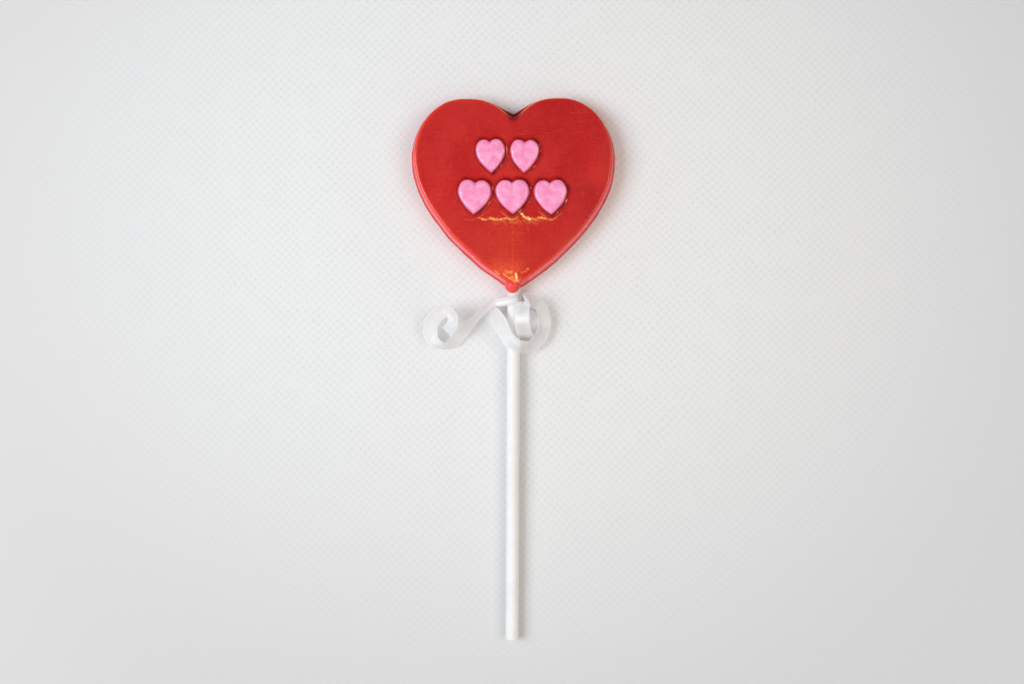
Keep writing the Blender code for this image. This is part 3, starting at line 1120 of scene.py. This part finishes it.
@dataclass
class HeartSlab:
    """The red slab: drafted wall with a lip at its foot, rounded edge, uneven face, beds, bead and socket.

    Rows of the wall are height and inset in millimetres and how much of the wall's smoother gloss and painted
    glow there is. Rows of the bulges are compass angle and millimetres outwards.
    """

    curve: HeartCurve = field(default_factory=HeartCurve)
    around: int = 360
    top: float = 7.5 * MM
    middle: Pair = (0.3 * MM, 58.3 * MM)
    hub: Pair = (0.0, 2.0 * MM)
    spokes: int = 40
    # Where the painted glow of the edge lies and how wide it is, in millimetres of inset.
    glow_inset: float = 1.9
    glow_width: float = 0.55
    # Height of the lip that gets the painted glow of thin candy, in millimetres.
    lip_height: float = 0.9
    # Height and spread of the painted glint on the lobes' top edge, in millimetres.
    crest: Pair = (6.95, 0.35)
    # Width of the notch's painted shade and of its matt wall.
    notch_shade: float = 3.7 * MM
    wall: Rows = (
        (0.0, 0.32, 0.0), (0.1, 0.10, 0.0), (0.28, 0.0, 0.0), (0.5, 0.03, 0.1), (0.68, 0.16, 0.3),
        (0.84, 0.36, 0.7), (1.1, 0.47, 1.0), (1.6, 0.54, 1.0), (2.4, 0.66, 1.0), (3.4, 0.81, 1.0),
        (4.4, 0.95, 1.0), (5.3, 1.08, 1.0), (6.0, 1.18, 1.0), (6.5, 1.26, 1.0), (6.85, 1.33, 0.95),
        (7.08, 1.42, 0.85), (7.24, 1.53, 0.6), (7.36, 1.67, 0.3), (7.44, 1.85, 0.1), (7.49, 2.1, 0.0),
        (7.5, 2.45, 0.0), (7.5, 3.0, 0.0), (7.5, 3.8, 0.0),
    )
    bulge_middle: Pair = (-0.27 * MM, 61.8 * MM)
    bulges: Rows = (
        (0, -0.05), (10, -0.36), (20, -0.30), (30, -0.22), (40, 0.08), (60, 0.05), (70, 0.20), (80, 0.10),
        (90, 0.0), (97, -0.35), (104, -0.35), (112, -0.20), (120, -0.25), (130, 0.20), (140, 0.30),
        (150, 0.15), (160, 0.0), (170, -0.12), (190, -0.25), (210, -0.36), (220, -0.08), (240, -0.20),
        (250, 0.05), (260, -0.20), (270, 0.0), (280, 0.15), (300, 0.20), (310, 0.0), (350, -0.05),
    )

    wall_waves: Rows = ((0.035, 4.0, 3.0, 0.5), (0.02, 1.7, 8.0, 0.4))
    lip_waves: Rows = ((0.16, 3.2, 21.0),)
    lip_reach: float = 1.0 * MM
    wave_fade: float = 0.8 * MM
    level_inset: float = 2.45
    level_reach: float = 1.3
    # The way towards the key light, where the painted edge glow is strongest, and how the glow fades round the
    # heart.
    light_way: Pair = (-0.9, -0.43)
    light_middle: float = 0.45
    light_swing: float = 0.6
    light_least: float = 0.08
    # Strength of the painted glint on the lobes' top edge.
    crest_gain: float = 1.1
    # How much painted shade the lip gets on its right side, away from the key light.
    painted_lip_shade: float = 0.4
    matt_inset: float = 3.0

    def uneven(self, points: np.ndarray, height: float) -> np.ndarray:
        """How far the wall stands out at the points of a ring, but for its foot and the face.

        Args:
            points: The ring's points.
            height: Their height.

        Returns:
            A distance outwards for each point.
        """
        low = max(0.0, 1.0 - height / self.lip_reach)
        fade = (height > 0.0) * min(1.0, max(0.0, (self.top - height) / self.wave_fade))
        return fade * (waves(points, self.wall_waves) + low * waves(points, self.lip_waves))

    def bulge(self, outline: np.ndarray) -> np.ndarray:
        """How far the heart as it was poured stands out from the even outline, at each point of a ring.

        Args:
            outline: The even outline.

        Returns:
            A distance outwards for each point.
        """
        away = outline - np.array(self.bulge_middle)
        angles = np.degrees(np.arctan2(away[:, 1], away[:, 0]))
        known, amounts = zip(*self.bulges)
        return np.interp(angles, known, amounts, period=360.0) * MM

    def marks(self, points: np.ndarray, outward: np.ndarray, row: Sequence[float]) -> dict[Mark, np.ndarray]:
        """The masks of a ring.

        Args:
            points: The ring's points.
            outward: The direction from the heart's middle to each of them.
            row: The ring's row of the wall.

        Returns:
            An array for each mark. The painted glow gathers most at the lower left of the edge and none in the
            notch, whose wall gets painted shade instead.
        """
        height, inset, wall = row
        # Painted glow in the edge, strongest on the side towards the key light.
        lit_side = self.light_middle + self.light_swing * (outward @ np.array(self.light_way))
        off = (inset - self.glow_inset) / self.glow_width
        glow = np.clip(lit_side, self.light_least, 1.0) * math.exp(-(off**2))
        # Painted glow in the thin lip at the foot.
        thin = max(0.0, 1.0 - height / self.lip_height)
        # A painted glint along the top edge of the lobes.
        crest = self.crest_gain * math.exp(-(((height - self.crest[0]) / self.crest[1]) ** 2))
        lit_crest = crest * np.clip(outward[:, 1] - 0.15, 0.0, 1.0) * (inset < self.glow_inset)
        # The notch's wall and the right side of the lip get painted shade.
        shaded = np.clip(outward[:, 0], 0.0, 1.0)
        across = (points[:, 0] - self.middle[0]) / self.notch_shade
        notch = (outward[:, 1] > 0.5) * np.exp(-(across**2))
        bare = 1.0 - notch
        return {
            Mark.WALL: wall * bare,
            Mark.EDGE: glow * bare,
            Mark.THIN: thin * bare,
            Mark.MOAT: wall * notch + self.painted_lip_shade * thin * shaded * bare,
            Mark.GLINT: lit_crest * bare,
            Mark.MATT: notch * (inset < self.matt_inset),
        }

    def rings(self) -> list[Ring]:
        """Every ring from the back's edge to the middle of the face.

        Returns:
            The rings in order.
        """
        made = []
        centre = np.array(self.middle)
        for row in self.wall:
            height, inset, _ = row
            outline = self.curve.ring(inset * MM, self.around) + centre
            outward = away_from(centre, outline)
            points = raise_ring(outline, height * MM)
            points[:, :2] += outward * self.bulge(outline)[:, None]
            points[:, :2] += outward * self.uneven(points, height * MM)[:, None]
            level = min(1.0, max(0.0, (inset - self.level_inset) / self.level_reach))
            points[:, 2] += level * waves(points, FACE_WAVES)
            made.append(Ring(points, self.marks(points, outward, row)))
        for _, outline in shrink(made[-1].points[:, :2], centre + np.array(self.hub), self.spokes):
            points = raise_ring(outline, self.top)
            points[:, 2] += waves(points, FACE_WAVES)
            made.append(Ring(points))
        return made

    def build(self, ornaments: Sequence["Ornament"], bead: "Bead", stick: "Stick") -> Part:
        """The finished slab as one closed solid.

        Args:
            ornaments: The pink hearts, whose beds rise from the face.
            bead: The drop of candy over the stick at the tip.
            stick: The stick, which the slab has set round.

        Returns:
            The object.
        """
        part = RingSolid("red_heart_slab", self.rings()).part
        book = MarkBook()
        book.read(part)
        for solid in (bead.build(), *(ornament.build_bed() for ornament in ornaments)):
            book.read(solid)
            unite(part, solid, "UNION")
        unite(part, stick.build_socket(), "DIFFERENCE")
        book.write(part)
        smooth_by_angle(part, 38.0)
        return part


@dataclass
class Bead:
    """The drop of candy that ran over the stick at the heart's tip.

    Swell and mottle are a depth, a wavelength on a drop of radius 1, and a seed.
    """

    centre: Triple = (-0.1 * MM, 27.8 * MM, 4.6 * MM)
    radii: Triple = (2.65 * MM, 2.65 * MM, 2.75 * MM)
    around: int = 56
    levels: int = 26
    taper: float = 0.14
    swell: Triple = (0.05, 0.9, 4.0)
    mottle: Triple = (0.5, 0.7, 14.0)

    def build(self) -> Part:
        """A rounded drop, narrower towards the stick and uneven, that sinks into the slab.

        Its painted glow is lighter on its left, towards the key light.

        Returns:
            The object.
        """
        rings = []
        turns = 2.0 * math.pi * np.arange(self.around) / self.around
        circle = np.column_stack((np.cos(turns), np.sin(turns)))
        for level in range(1, self.levels):
            rise = math.pi * (level / self.levels - 0.5)
            ball = raise_ring(math.cos(rise) * circle, math.sin(rise))
            swell = 1.0 + self.swell[0] * ripples(ball, *self.swell[1:], 1.0)
            # Painted light on the bead: lighter on its left, towards the key light, with a random mottle.
            pale = 0.8 - 0.35 * ball[:, 0] + self.mottle[0] * ripples(ball, *self.mottle[1:], 1.0)
            ball[:, 0] *= 1.0 - self.taper * np.maximum(0.0, -ball[:, 1])
            points = np.array(self.centre) + swell[:, None] * ball * np.array(self.radii)
            rings.append(Ring(points, {Mark.THIN: np.clip(pale, 0.2, 1.0), Mark.MATT: 0.5}))
        return RingSolid("bead", rings).part


@dataclass
class Ornament:
    """One raised pink heart and the red bed that it sits on.

    Rows of the bed are outset and height above the face in millimetres and how much painted shade its foot has
    there. Rows of the cap are outset and height in millimetres and how much painted shade its rounded side has
    there. Rows of patches are wavelength in millimetres, seed, middle value and swing.
    """

    name: str
    x: float
    y: float
    width: float
    height: float
    turn: float
    around: int = 160
    seed: float = 0.0
    # How strong the painted line of light below the cap is.
    sparkle: float = 1.0
    floor: float = 7.5 * MM
    bed: Rows = (
        (2.9, -0.03, 0.0), (2.65, 0.003, 0.0), (2.4, 0.006, 0.0), (2.2, 0.008, 0.0), (2.0, 0.010, 0.0),
        (1.8, 0.012, 0.06), (1.6, 0.014, 0.13), (1.4, 0.016, 0.22), (1.2, 0.02, 0.31), (1.0, 0.035, 0.4),
        (0.84, 0.08, 0.48), (0.70, 0.18, 0.54), (0.58, 0.33, 0.6), (0.48, 0.48, 0.66), (0.38, 0.60, 0.75),
        (0.25, 0.69, 0.9), (0.10, 0.74, 1.0), (-0.25, 0.74, 1.0),
    )
    # Outset of the painted line of light in the apron, in millimetres; the bed is matt inside it.
    line: float = 1.6
    cap: Rows = (
        (0.0, 8.12, 1.0), (0.0, 8.30, 1.0), (-0.01, 8.48, 0.9), (-0.05, 8.66, 0.7), (-0.13, 8.83, 0.55),
        (-0.26, 8.98, 0.4), (-0.44, 9.10, 0.3), (-0.68, 9.19, 0.12), (-0.98, 9.27, 0.0), (-1.35, 9.33, 0.0),
    )
    bed_wobble: float = 0.06
    cap_wobble: float = 0.13
    wobble_length: float = 2.6
    # Patches of the painted shade round the cap.
    painted_shade_patches: tuple[float, ...] = (2.2, 60.0, 0.75, 1.2)
    gloss_patches: tuple[float, ...] = (2.0, 80.0, 0.45, 1.6)
    # Patches, reach and strength of the painted twinkles and of the painted line of light.
    twinkle_patches: tuple[float, ...] = (1.4, 95.0, -0.8, 4.4)
    line_patches: tuple[float, ...] = (1.9, 30.0, 0.75, 1.1)
    twinkle_reach: Pair = (0.5, 0.8)
    line_gain: float = 0.6
    matt: float = 0.85
    dome: float = 0.12 * MM
    dome_depth: float = 0.03
    dome_length: float = 2.4
    spokes: int = 10

    def curve(self) -> HeartCurve:
        """The cap's outline about its own middle."""
        return HeartCurve(width=self.width, height=self.height)

    def placed(self, outline: np.ndarray, height: float, wobble: float) -> np.ndarray:
        """An outline turned, put in its place and made a little uneven.

        Args:
            outline: The outline about its own middle.
            height: Its height.
            wobble: How uneven it gets, in millimetres.

        Returns:
            The points of a ring.
        """
        turn = math.radians(self.turn)
        spin = np.array(((math.cos(turn), -math.sin(turn)), (math.sin(turn), math.cos(turn))))
        middle = np.array((self.x, self.y))
        flat = outline @ spin.T + middle
        points = raise_ring(flat, height)
        out = waves(points, ((wobble, self.wobble_length, self.seed, 1.0),))
        points[:, :2] += away_from(middle, flat) * out[:, None]
        return points

    def build_bed(self) -> Part:
        """The red bed, with a thin apron round its foot where painted light gathers on the lower side.

        Returns:
            The object.
        """
        rings = []
        for outset, rise, moat in self.bed:
            outline = self.curve().ring(-outset * MM, self.around)
            points = self.placed(outline, self.floor + rise * MM, self.bed_wobble)
            ahead = np.roll(points, -1, axis=0) - np.roll(points, 1, axis=0)
            ahead /= np.linalg.norm(ahead[:, :2], axis=1)[:, None]
            low_right = np.clip(0.5 + 0.55 * (ahead[:, 0] + ahead[:, 1]), 0.15, 1.0)
            facing = np.clip(1.6 * (ahead[:, 1] + 0.5 * ahead[:, 0]) - 0.5, 0.0, 1.0)
            away = np.clip(0.85 + 0.3 * ahead[:, 1], 0.5, 1.0)
            # Painted shade at the foot of the cap on its bed, patchy and weaker on some sides.
            dark = np.clip(self.patches(points, self.painted_shade_patches), 0.3, 1.0)
            gloss = self.patches(points, self.gloss_patches)
            inner, outer = self.twinkle_reach
            # Painted twinkles of light on the bed's side.
            twinkles = facing * self.patches(points, self.twinkle_patches) * (inner < outset < outer)
            marks = {
                Mark.MOAT: moat * away * dark,
                Mark.GLINT: self.gathered(points, outset) * np.clip(ahead[:, 0], 0.0, 1.0) + twinkles,
                Mark.MATT: (outset < self.line) * self.matt * (1.0 - low_right * gloss),
            }
            points[:, 2] += waves(points, FACE_WAVES)
            rings.append(Ring(points, marks))
        return RingSolid(f"bed_{self.name}", rings).part

    def patches(self, points: np.ndarray, row: Sequence[float]) -> np.ndarray:
        """Patchy values from 0 to 1 at points."""
        length, shift, middle, swing = row
        return np.clip(middle + swing * ripples(points, length * MM, self.seed + shift), 0.0, 1.0)

    def gathered(self, points: np.ndarray, outset: float) -> np.ndarray:
        """How much painted light gathers in the apron, in an uneven line round the lower end.

        Args:
            points: A ring of the bed.
            outset: The ring's distance from the cap, in millimetres.

        Returns:
            One number for each point.
        """
        shift = 0.35 * ripples(points, 1.6 * MM, self.seed + 40.0)
        spread = 0.20 + 0.12 * ripples(points, 2.3 * MM, self.seed + 50.0)
        line = np.exp(-(((outset - self.line - shift) / spread) ** 2))
        foot = self.y - self.height / 2.0
        low = np.clip((foot + 2.6 * MM - points[:, 1]) / (2.4 * MM), 0.0, 1.0)
        return self.line_gain * self.sparkle * line * low * self.patches(points, self.line_patches)

    def build_cap(self) -> Part:
        """The pink heart, with a rounded edge and a soft dome.

        Returns:
            The object.
        """
        rings = []
        for outset, height, wall in self.cap:
            outline = self.curve().ring(-outset * MM, self.around)
            # The cap's rounded side gets painted shade by its row's share.
            rings.append(Ring(self.placed(outline, height * MM, self.cap_wobble), {Mark.WALL: wall}))
        dents = ((self.dome_depth, self.dome_length, self.seed + 2.0),)
        for share, outline in shrink(rings[-1].points[:, :2], np.array((self.x, self.y)), self.spokes):
            points = raise_ring(outline, self.cap[-1][1] * MM)
            points[:, 2] += self.dome * (1.0 - share * share) + waves(points, dents)
            rings.append(Ring(points))
        part = RingSolid(f"pink_candy_{self.name}", rings).part
        smooth_by_angle(part, 50.0)
        return part


# The stick.


@dataclass
class Stick:
    """The rolled paper stick. Its section is a flat spiral, with one step where the outer turn ends.

    Rows of the butt, the free end, are millimetres from the end and share of the full radius.
    """

    radius: float = 2.185 * MM
    start: Triple = (-0.24 * MM, -90.0 * MM, 2.285 * MM)
    end_y: float = 62.4 * MM
    rise: Triple = (0.005, 1.0, 0.0072)
    around: int = 96
    paper: float = 0.05 * MM
    seam: float = -2.2
    bevel: float = 0.12 * MM
    socket_gap: float = 0.015 * MM
    socket_mouth_y: float = 20.0 * MM
    parts: int = 60
    butt: Rows = (
        (0.22, 0.12), (0.10, 0.2), (0.22, 0.3), (0.10, 0.42), (0.22, 0.54), (0.10, 0.66), (0.22, 0.78),
        (0.10, 0.88), (0.02, 0.93), (0.0, 0.965), (0.042, 0.992),
    )

    def axis_point(self, y: float) -> np.ndarray:
        """The point of the stick's axis at a place along Y."""
        return np.array(self.start) + np.array(self.rise) * (y - self.start[1])

    def section(self, y: float, share: float = 1.0, paper: float | None = None) -> np.ndarray:
        """A ring about the axis at a place along Y, at a share of the full radius.

        Args:
            y: The place.
            share: The share of the radius.
            paper: The step at the seam, where it isn't the paper's own.

        Returns:
            The ring's points.
        """
        step = self.paper if paper is None else paper
        points = []
        for i in range(self.around):
            share_round = i / self.around
            angle = self.seam + 2.0 * math.pi * share_round
            radius = (self.radius - step * share_round) * share
            points.append(self.axis_point(y) + radius * np.array((math.cos(angle), 0.0, math.sin(angle))))
        return np.array(points)

    def build(self) -> Part:
        """The stick as one closed solid, with the turns of the roll showing at its free end.

        Returns:
            The object.
        """
        front = self.start[1]
        straight = self.end_y - front - 2.0 * self.bevel
        stations = [(front + along * MM, share) for along, share in self.butt]
        for step in range(self.parts + 1):
            stations.append((front + self.bevel + straight * step / self.parts, 1.0))
        stations.append((self.end_y, 0.965))
        part = RingSolid("paper_stick", [Ring(self.section(*station)) for station in stations]).part
        smooth_by_angle(part, 30.0)
        return part

    def build_socket(self) -> Part:
        """The room that the stick takes up in the candy.

        Returns:
            The object.
        """
        share = 1.0 + self.socket_gap / self.radius
        back = self.end_y + self.socket_gap
        rings = [Ring(self.section(y, share, 0.0)) for y in (self.socket_mouth_y, back)]
        return RingSolid("socket", rings).part


# The ribbon.


@dataclass
class Ribbon:
    """The satin ribbon, tied once round the stick.

    Stations give the strip's middle in millimetres, the compass direction and the tilt of its width in
    degrees, and its width where that isn't the full one. Those of the wrap give the angle round the stick, Y
    and the compass direction.
    """

    width: float = 4.8
    thickness: float = 0.1 * MM
    steps: int = 18
    across: int = 10
    cup: float = 0.16 * MM
    left_curl: Rows = (
        (-21.8, 12.3, 6.6, 188, -24), (-20.0, 14.6, 7.0, 200, -32), (-19.8, 17.5, 7.0, 222, -42),
        (-22.2, 19.5, 6.4, 262, -44), (-25.4, 17.8, 5.2, 312, -28), (-27.2, 15.0, 4.2, 350, -14),
        (-27.4, 11.7, 3.6, 12, 8), (-26.1, 9.2, 3.3, 42, 36), (-22.9, 7.9, 3.1, 82, 60),
        (-19.4, 9.5, 3.0, 105, 42), (-17.1, 12.2, 3.1, 117, 34), (-14.7, 14.6, 3.6, 128, 44, 4.2),
        (-12.4, 17.0, 4.2, 134, 50, 3.4), (-10.0, 19.2, 4.9, 132, 50, 3.0), (-7.8, 21.2, 5.7, 122, 42, 2.8),
        (-5.3, 22.2, 6.25, 108, 25, 2.7), (-2.9, 22.5, 6.0, 98, 8, 2.7),
    )
    wrap_radius: float = 2.65 * MM
    wrap_width: float = 2.7
    wrap: Rows = ((86, 22.8, 93), (45, 22.7, 92), (0, 22.3, 92), (-45, 21.8, 94), (-90, 21.3, 94))
    right_curl: Rows = (
        (-2.6, 20.6, 0.55, 74, 0, 2.9), (-5.2, 19.8, 0.95, 60, 3, 3.3), (-7.1, 18.9, 2.3, 55, 3, 4.1),
        (-7.5, 18.8, 4.2, 53, 0, 4.7), (-6.7, 18.3, 6.0, 47, 0), (-5.0, 16.6, 6.7, 36, 3),
        (-3.6, 14.2, 6.8, 34, 16), (-2.3, 11.4, 7.0, 38, 28), (-0.6, 9.1, 7.2, 50, 25),
        (2.0, 7.6, 6.9, 75, 28), (5.0, 7.5, 5.0, 98, 46), (8.1, 9.4, 4.2, 135, 34),
        (10.1, 12.8, 4.3, 160, 34), (10.7, 16.4, 4.7, 187, 36), (9.7, 19.8, 5.4, 212, 38),
        (7.6, 22.3, 6.2, 240, 38), (5.4, 23.1, 7.1, 252, 34), (3.7, 22.2, 8.2, 222, 18),
        (3.0, 20.2, 9.1, 190, 4), (3.0, 17.6, 9.2, 182, 0), (3.1, 14.8, 8.4, 180, 0),
        (3.9, 11.8, 6.6, 180, 0), (5.0, 10.8, 4.7, 180, 0), (5.8, 11.1, 2.8, 180, 0),
        (6.0, 13.3, 1.3, 180, 0), (6.1, 16.3, 0.8, 180, 0), (6.1, 18.6, 1.4, 180, 0),
        (6.2, 19.7, 3.0, 180, 0), (6.2, 19.2, 4.8, 180, 0), (6.2, 17.3, 6.0, 180, 0),
        (6.2, 15.2, 5.8, 180, 0), (6.4, 13.5, 4.8, 180, 0, 4.4),
    )

    def wrap_stations(self, stick: Stick) -> list[tuple[float, ...]]:
        """The stations round the stick, from above it down its right side to below it.

        Args:
            stick: The stick.

        Returns:
            The stations in order.
        """
        stations = []
        for angle, y, compass in self.wrap:
            middle = stick.axis_point(y * MM) + self.wrap_radius * np.array(pointing(0.0, angle))
            stations.append((middle[0] / MM, y, middle[2] / MM, compass, 0, self.wrap_width))
        return stations

    def strip(self, stick: Stick) -> list[tuple[Vector, Vector, Vector]]:
        """The strip's course.

        Args:
            stick: The stick that it goes round.

        Returns:
            Middle, half width and upward direction at close steps along it.
        """
        middles = []
        directions = []
        half_widths = []
        for x, y, z, compass, tilt, *width in (*self.left_curl, *self.wrap_stations(stick), *self.right_curl):
            middles.append(Vector((x, y, z)) * MM)
            directions.append(pointing(compass, tilt))
            half_widths.append((width[0] if width else self.width) * MM / 2.0)
        middles = smooth_through(middles, self.steps)
        directions = smooth_through(directions, self.steps)
        half_widths = smooth_through(half_widths, self.steps)
        last = len(middles) - 1
        made = []
        for i, middle in enumerate(middles):
            along = (middles[min(i + 1, last)] - middles[max(i - 1, 0)]).normalized()
            side = directions[i] - directions[i].dot(along) * along
            side *= half_widths[i] / side.length
            made.append((middle, side, side.cross(along).normalized()))
        return made

    def build(self, stick: Stick) -> Part:
        """The ribbon as one thin closed strip.

        Args:
            stick: The stick that it is tied round.

        Returns:
            The object, with a UV map that runs along the strip.
        """
        strip = self.strip(stick)
        rows = len(strip) - 1
        deselect_everything()
        bpy.ops.mesh.primitive_grid_add(x_subdivisions=self.across, y_subdivisions=rows, size=1.0)
        part = bpy.context.active_object
        part.name = "satin_ribbon"
        for corner in part.data.vertices:
            share = 2.0 * corner.co.x
            middle, side, up = strip[round((corner.co.y + 0.5) * rows)]
            corner.co = middle + side * share + up * self.cup * (0.5 - share * share)
        solidify = part.modifiers.new("thickness", "SOLIDIFY")
        solidify.thickness = self.thickness
        solidify.offset = 0.0
        bpy.ops.object.modifier_apply(modifier=solidify.name)
        smooth_by_angle(part, 60.0)
        return part


# The studio.


@dataclass(frozen=True)
class Softbox:
    """A square light that looks at the lollipop from a compass direction and an elevation, in degrees."""

    name: str
    azimuth: float
    elevation: float
    distance: float
    size: float
    watts: float
    colour: Colour

    def place(self, target: Vector) -> None:
        """Adds the light to the scene, turned to a target.

        Args:
            target: The place that it shines at.
        """
        way = pointing(self.azimuth, self.elevation)
        lamp = bpy.data.lights.new(self.name, "AREA")
        lamp.shape = "SQUARE"
        lamp.size = self.size
        lamp.energy = self.watts
        lamp.color = self.colour
        holder = bpy.data.objects.new(self.name, lamp)
        holder.location = target + way * self.distance
        holder.rotation_euler = way.to_track_quat("Z", "Y").to_euler()
        bpy.context.scene.collection.objects.link(holder)


@dataclass
class Studio:
    """Table, lights, surroundings and the camera that looks straight down."""

    target: Triple = (0.0, 75.0 * MM, 0.0)
    softboxes: tuple[Softbox, ...] = (
        Softbox("key_light", 186.0, 47.0, 0.8, 0.45, 5.1, (0.85, 0.93, 0.985)),
        Softbox("side_light", -2.0, 52.0, 0.75, 0.4, 1.75, (1.0, 0.95, 0.88)),
        Softbox("front_light", -100.0, 50.0, 1.2, 0.8, 0.86, (1.0, 0.955, 0.92)),
        Softbox("spark_light", -98.0, 62.0, 0.9, 0.08, 0.3, (1.0, 0.95, 0.90)),
        Softbox("low_light", -52.0, 30.0, 0.8, 0.35, 0.62, (1.0, 0.84, 0.62)),
    )
    sky: Colour = (1.0, 0.94, 0.89)
    sky_strength: float = 0.25
    eye: Triple = (-0.27 * MM, 9.05 * MM, 358.0 * MM)
    focal_pixels: float = 1065.5
    photo_width: int = 1024
    sensor: float = 36.0
    table_size: float = 4.0

    def build_table(self, material: Material) -> Part:
        """The cloth, which isn't part of the lollipop.

        Args:
            material: The cloth's finish.

        Returns:
            The object.
        """
        deselect_everything()
        bpy.ops.mesh.primitive_plane_add(size=self.table_size)
        table = bpy.context.active_object
        table.name = "table"
        table.data.materials.append(material)
        table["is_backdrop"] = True
        return table

    def build_lights(self) -> None:
        """The softboxes and the even light around them."""
        for softbox in self.softboxes:
            softbox.place(Vector(self.target))
        world = bpy.data.worlds.new("even_light")
        world.use_nodes = True
        background = world.node_tree.nodes["Background"]
        background.inputs["Color"].default_value = (*self.sky, 1.0)
        background.inputs["Strength"].default_value = self.sky_strength
        bpy.context.scene.world = world

    def build_camera(self) -> None:
        """The camera at the photograph's place."""
        data = bpy.data.cameras.new("camera")
        data.sensor_width = self.sensor
        data.lens = self.focal_pixels * self.sensor / self.photo_width
        data.clip_start = 0.01
        camera = bpy.data.objects.new("camera", data)
        camera.location = self.eye
        bpy.context.scene.collection.objects.link(camera)
        bpy.context.scene.camera = camera

    def build(self, cloth: Material) -> None:
        """Sets the whole scene round the lollipop.

        Args:
            cloth: The cloth's finish.
        """
        self.build_table(cloth)
        self.build_lights()
        self.build_camera()
        bpy.context.scene.view_settings.view_transform = "Standard"


@dataclass
class Lollipop:
    """All the pieces of the lollipop."""

    slab: HeartSlab = field(default_factory=HeartSlab)
    bead: Bead = field(default_factory=Bead)
    stick: Stick = field(default_factory=Stick)
    ribbon: Ribbon = field(default_factory=Ribbon)
    ornaments: tuple[Ornament, ...] = (
        Ornament("upper_left", -7.3 * MM, 70.1 * MM, 9.6 * MM, 11.0 * MM, 3.0, seed=1.0, sparkle=0.25),
        Ornament("upper_right", 3.8 * MM, 70.0 * MM, 9.4 * MM, 10.9 * MM, -2.0, seed=2.0, sparkle=0.3),
        Ornament("lower_left", -12.6 * MM, 56.6 * MM, 10.9 * MM, 11.3 * MM, -2.5, seed=3.0, sparkle=0.7),
        Ornament("lower_mid", -0.1 * MM, 56.7 * MM, 11.1 * MM, 11.2 * MM, 1.5, seed=4.0),
        Ornament("lower_right", 12.4 * MM, 56.5 * MM, 10.8 * MM, 11.4 * MM, 2.5, seed=5.0),
    )

    @staticmethod
    def dress(part: Part, material: Material, slot: Slot, node: str) -> None:
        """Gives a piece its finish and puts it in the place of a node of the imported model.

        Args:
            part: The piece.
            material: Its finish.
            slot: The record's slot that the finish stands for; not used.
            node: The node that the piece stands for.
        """
        part.data.materials.clear()
        part.data.materials.append(material)
        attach(part, BODY)
        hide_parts(node)
        LOG.info("%s stands for %s, with %d faces", part.name, node, len(part.data.polygons))

    def build(self, effects: SharedEffects) -> None:
        """Builds and dresses every piece.

        Args:
            effects: The shared groups.
        """
        red = RedCandy().build(effects)
        pink = PinkCandy().build(effects)
        self.dress(self.slab.build(self.ornaments, self.bead, self.stick), red, Slot.RED_CANDY, "heart")
        for ornament in self.ornaments:
            self.dress(ornament.build_cap(), pink, Slot.PINK_CANDY, f"pink_heart_{ornament.name}")
        self.dress(self.stick.build(), RolledPaper().build(effects), Slot.ROLLED_PAPER, "stick")
        self.dress(self.ribbon.build(self.stick), SatinFilm().build(effects), Slot.SATIN_RIBBON, "ribbon")


def main(measure: Callable[[], tuple[Vector, Vector]]) -> None:
    """Builds the scene in order.

    Args:
        measure: Gives the lowest and the highest corner of what is shown.
    """
    logging.basicConfig(level=logging.INFO, format="%(name)s: %(message)s")
    cad_box = measure()
    effects = SharedEffects()
    Lollipop().build(effects)
    Studio().build(TableCloth().build(effects))
    measure()


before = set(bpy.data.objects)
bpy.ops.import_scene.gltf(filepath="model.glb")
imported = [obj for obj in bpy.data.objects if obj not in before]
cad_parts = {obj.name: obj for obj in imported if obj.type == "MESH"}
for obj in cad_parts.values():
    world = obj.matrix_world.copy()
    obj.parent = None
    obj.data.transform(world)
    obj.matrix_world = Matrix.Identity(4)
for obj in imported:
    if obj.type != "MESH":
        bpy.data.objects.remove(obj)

if __name__ == "__main__":
    main(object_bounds)
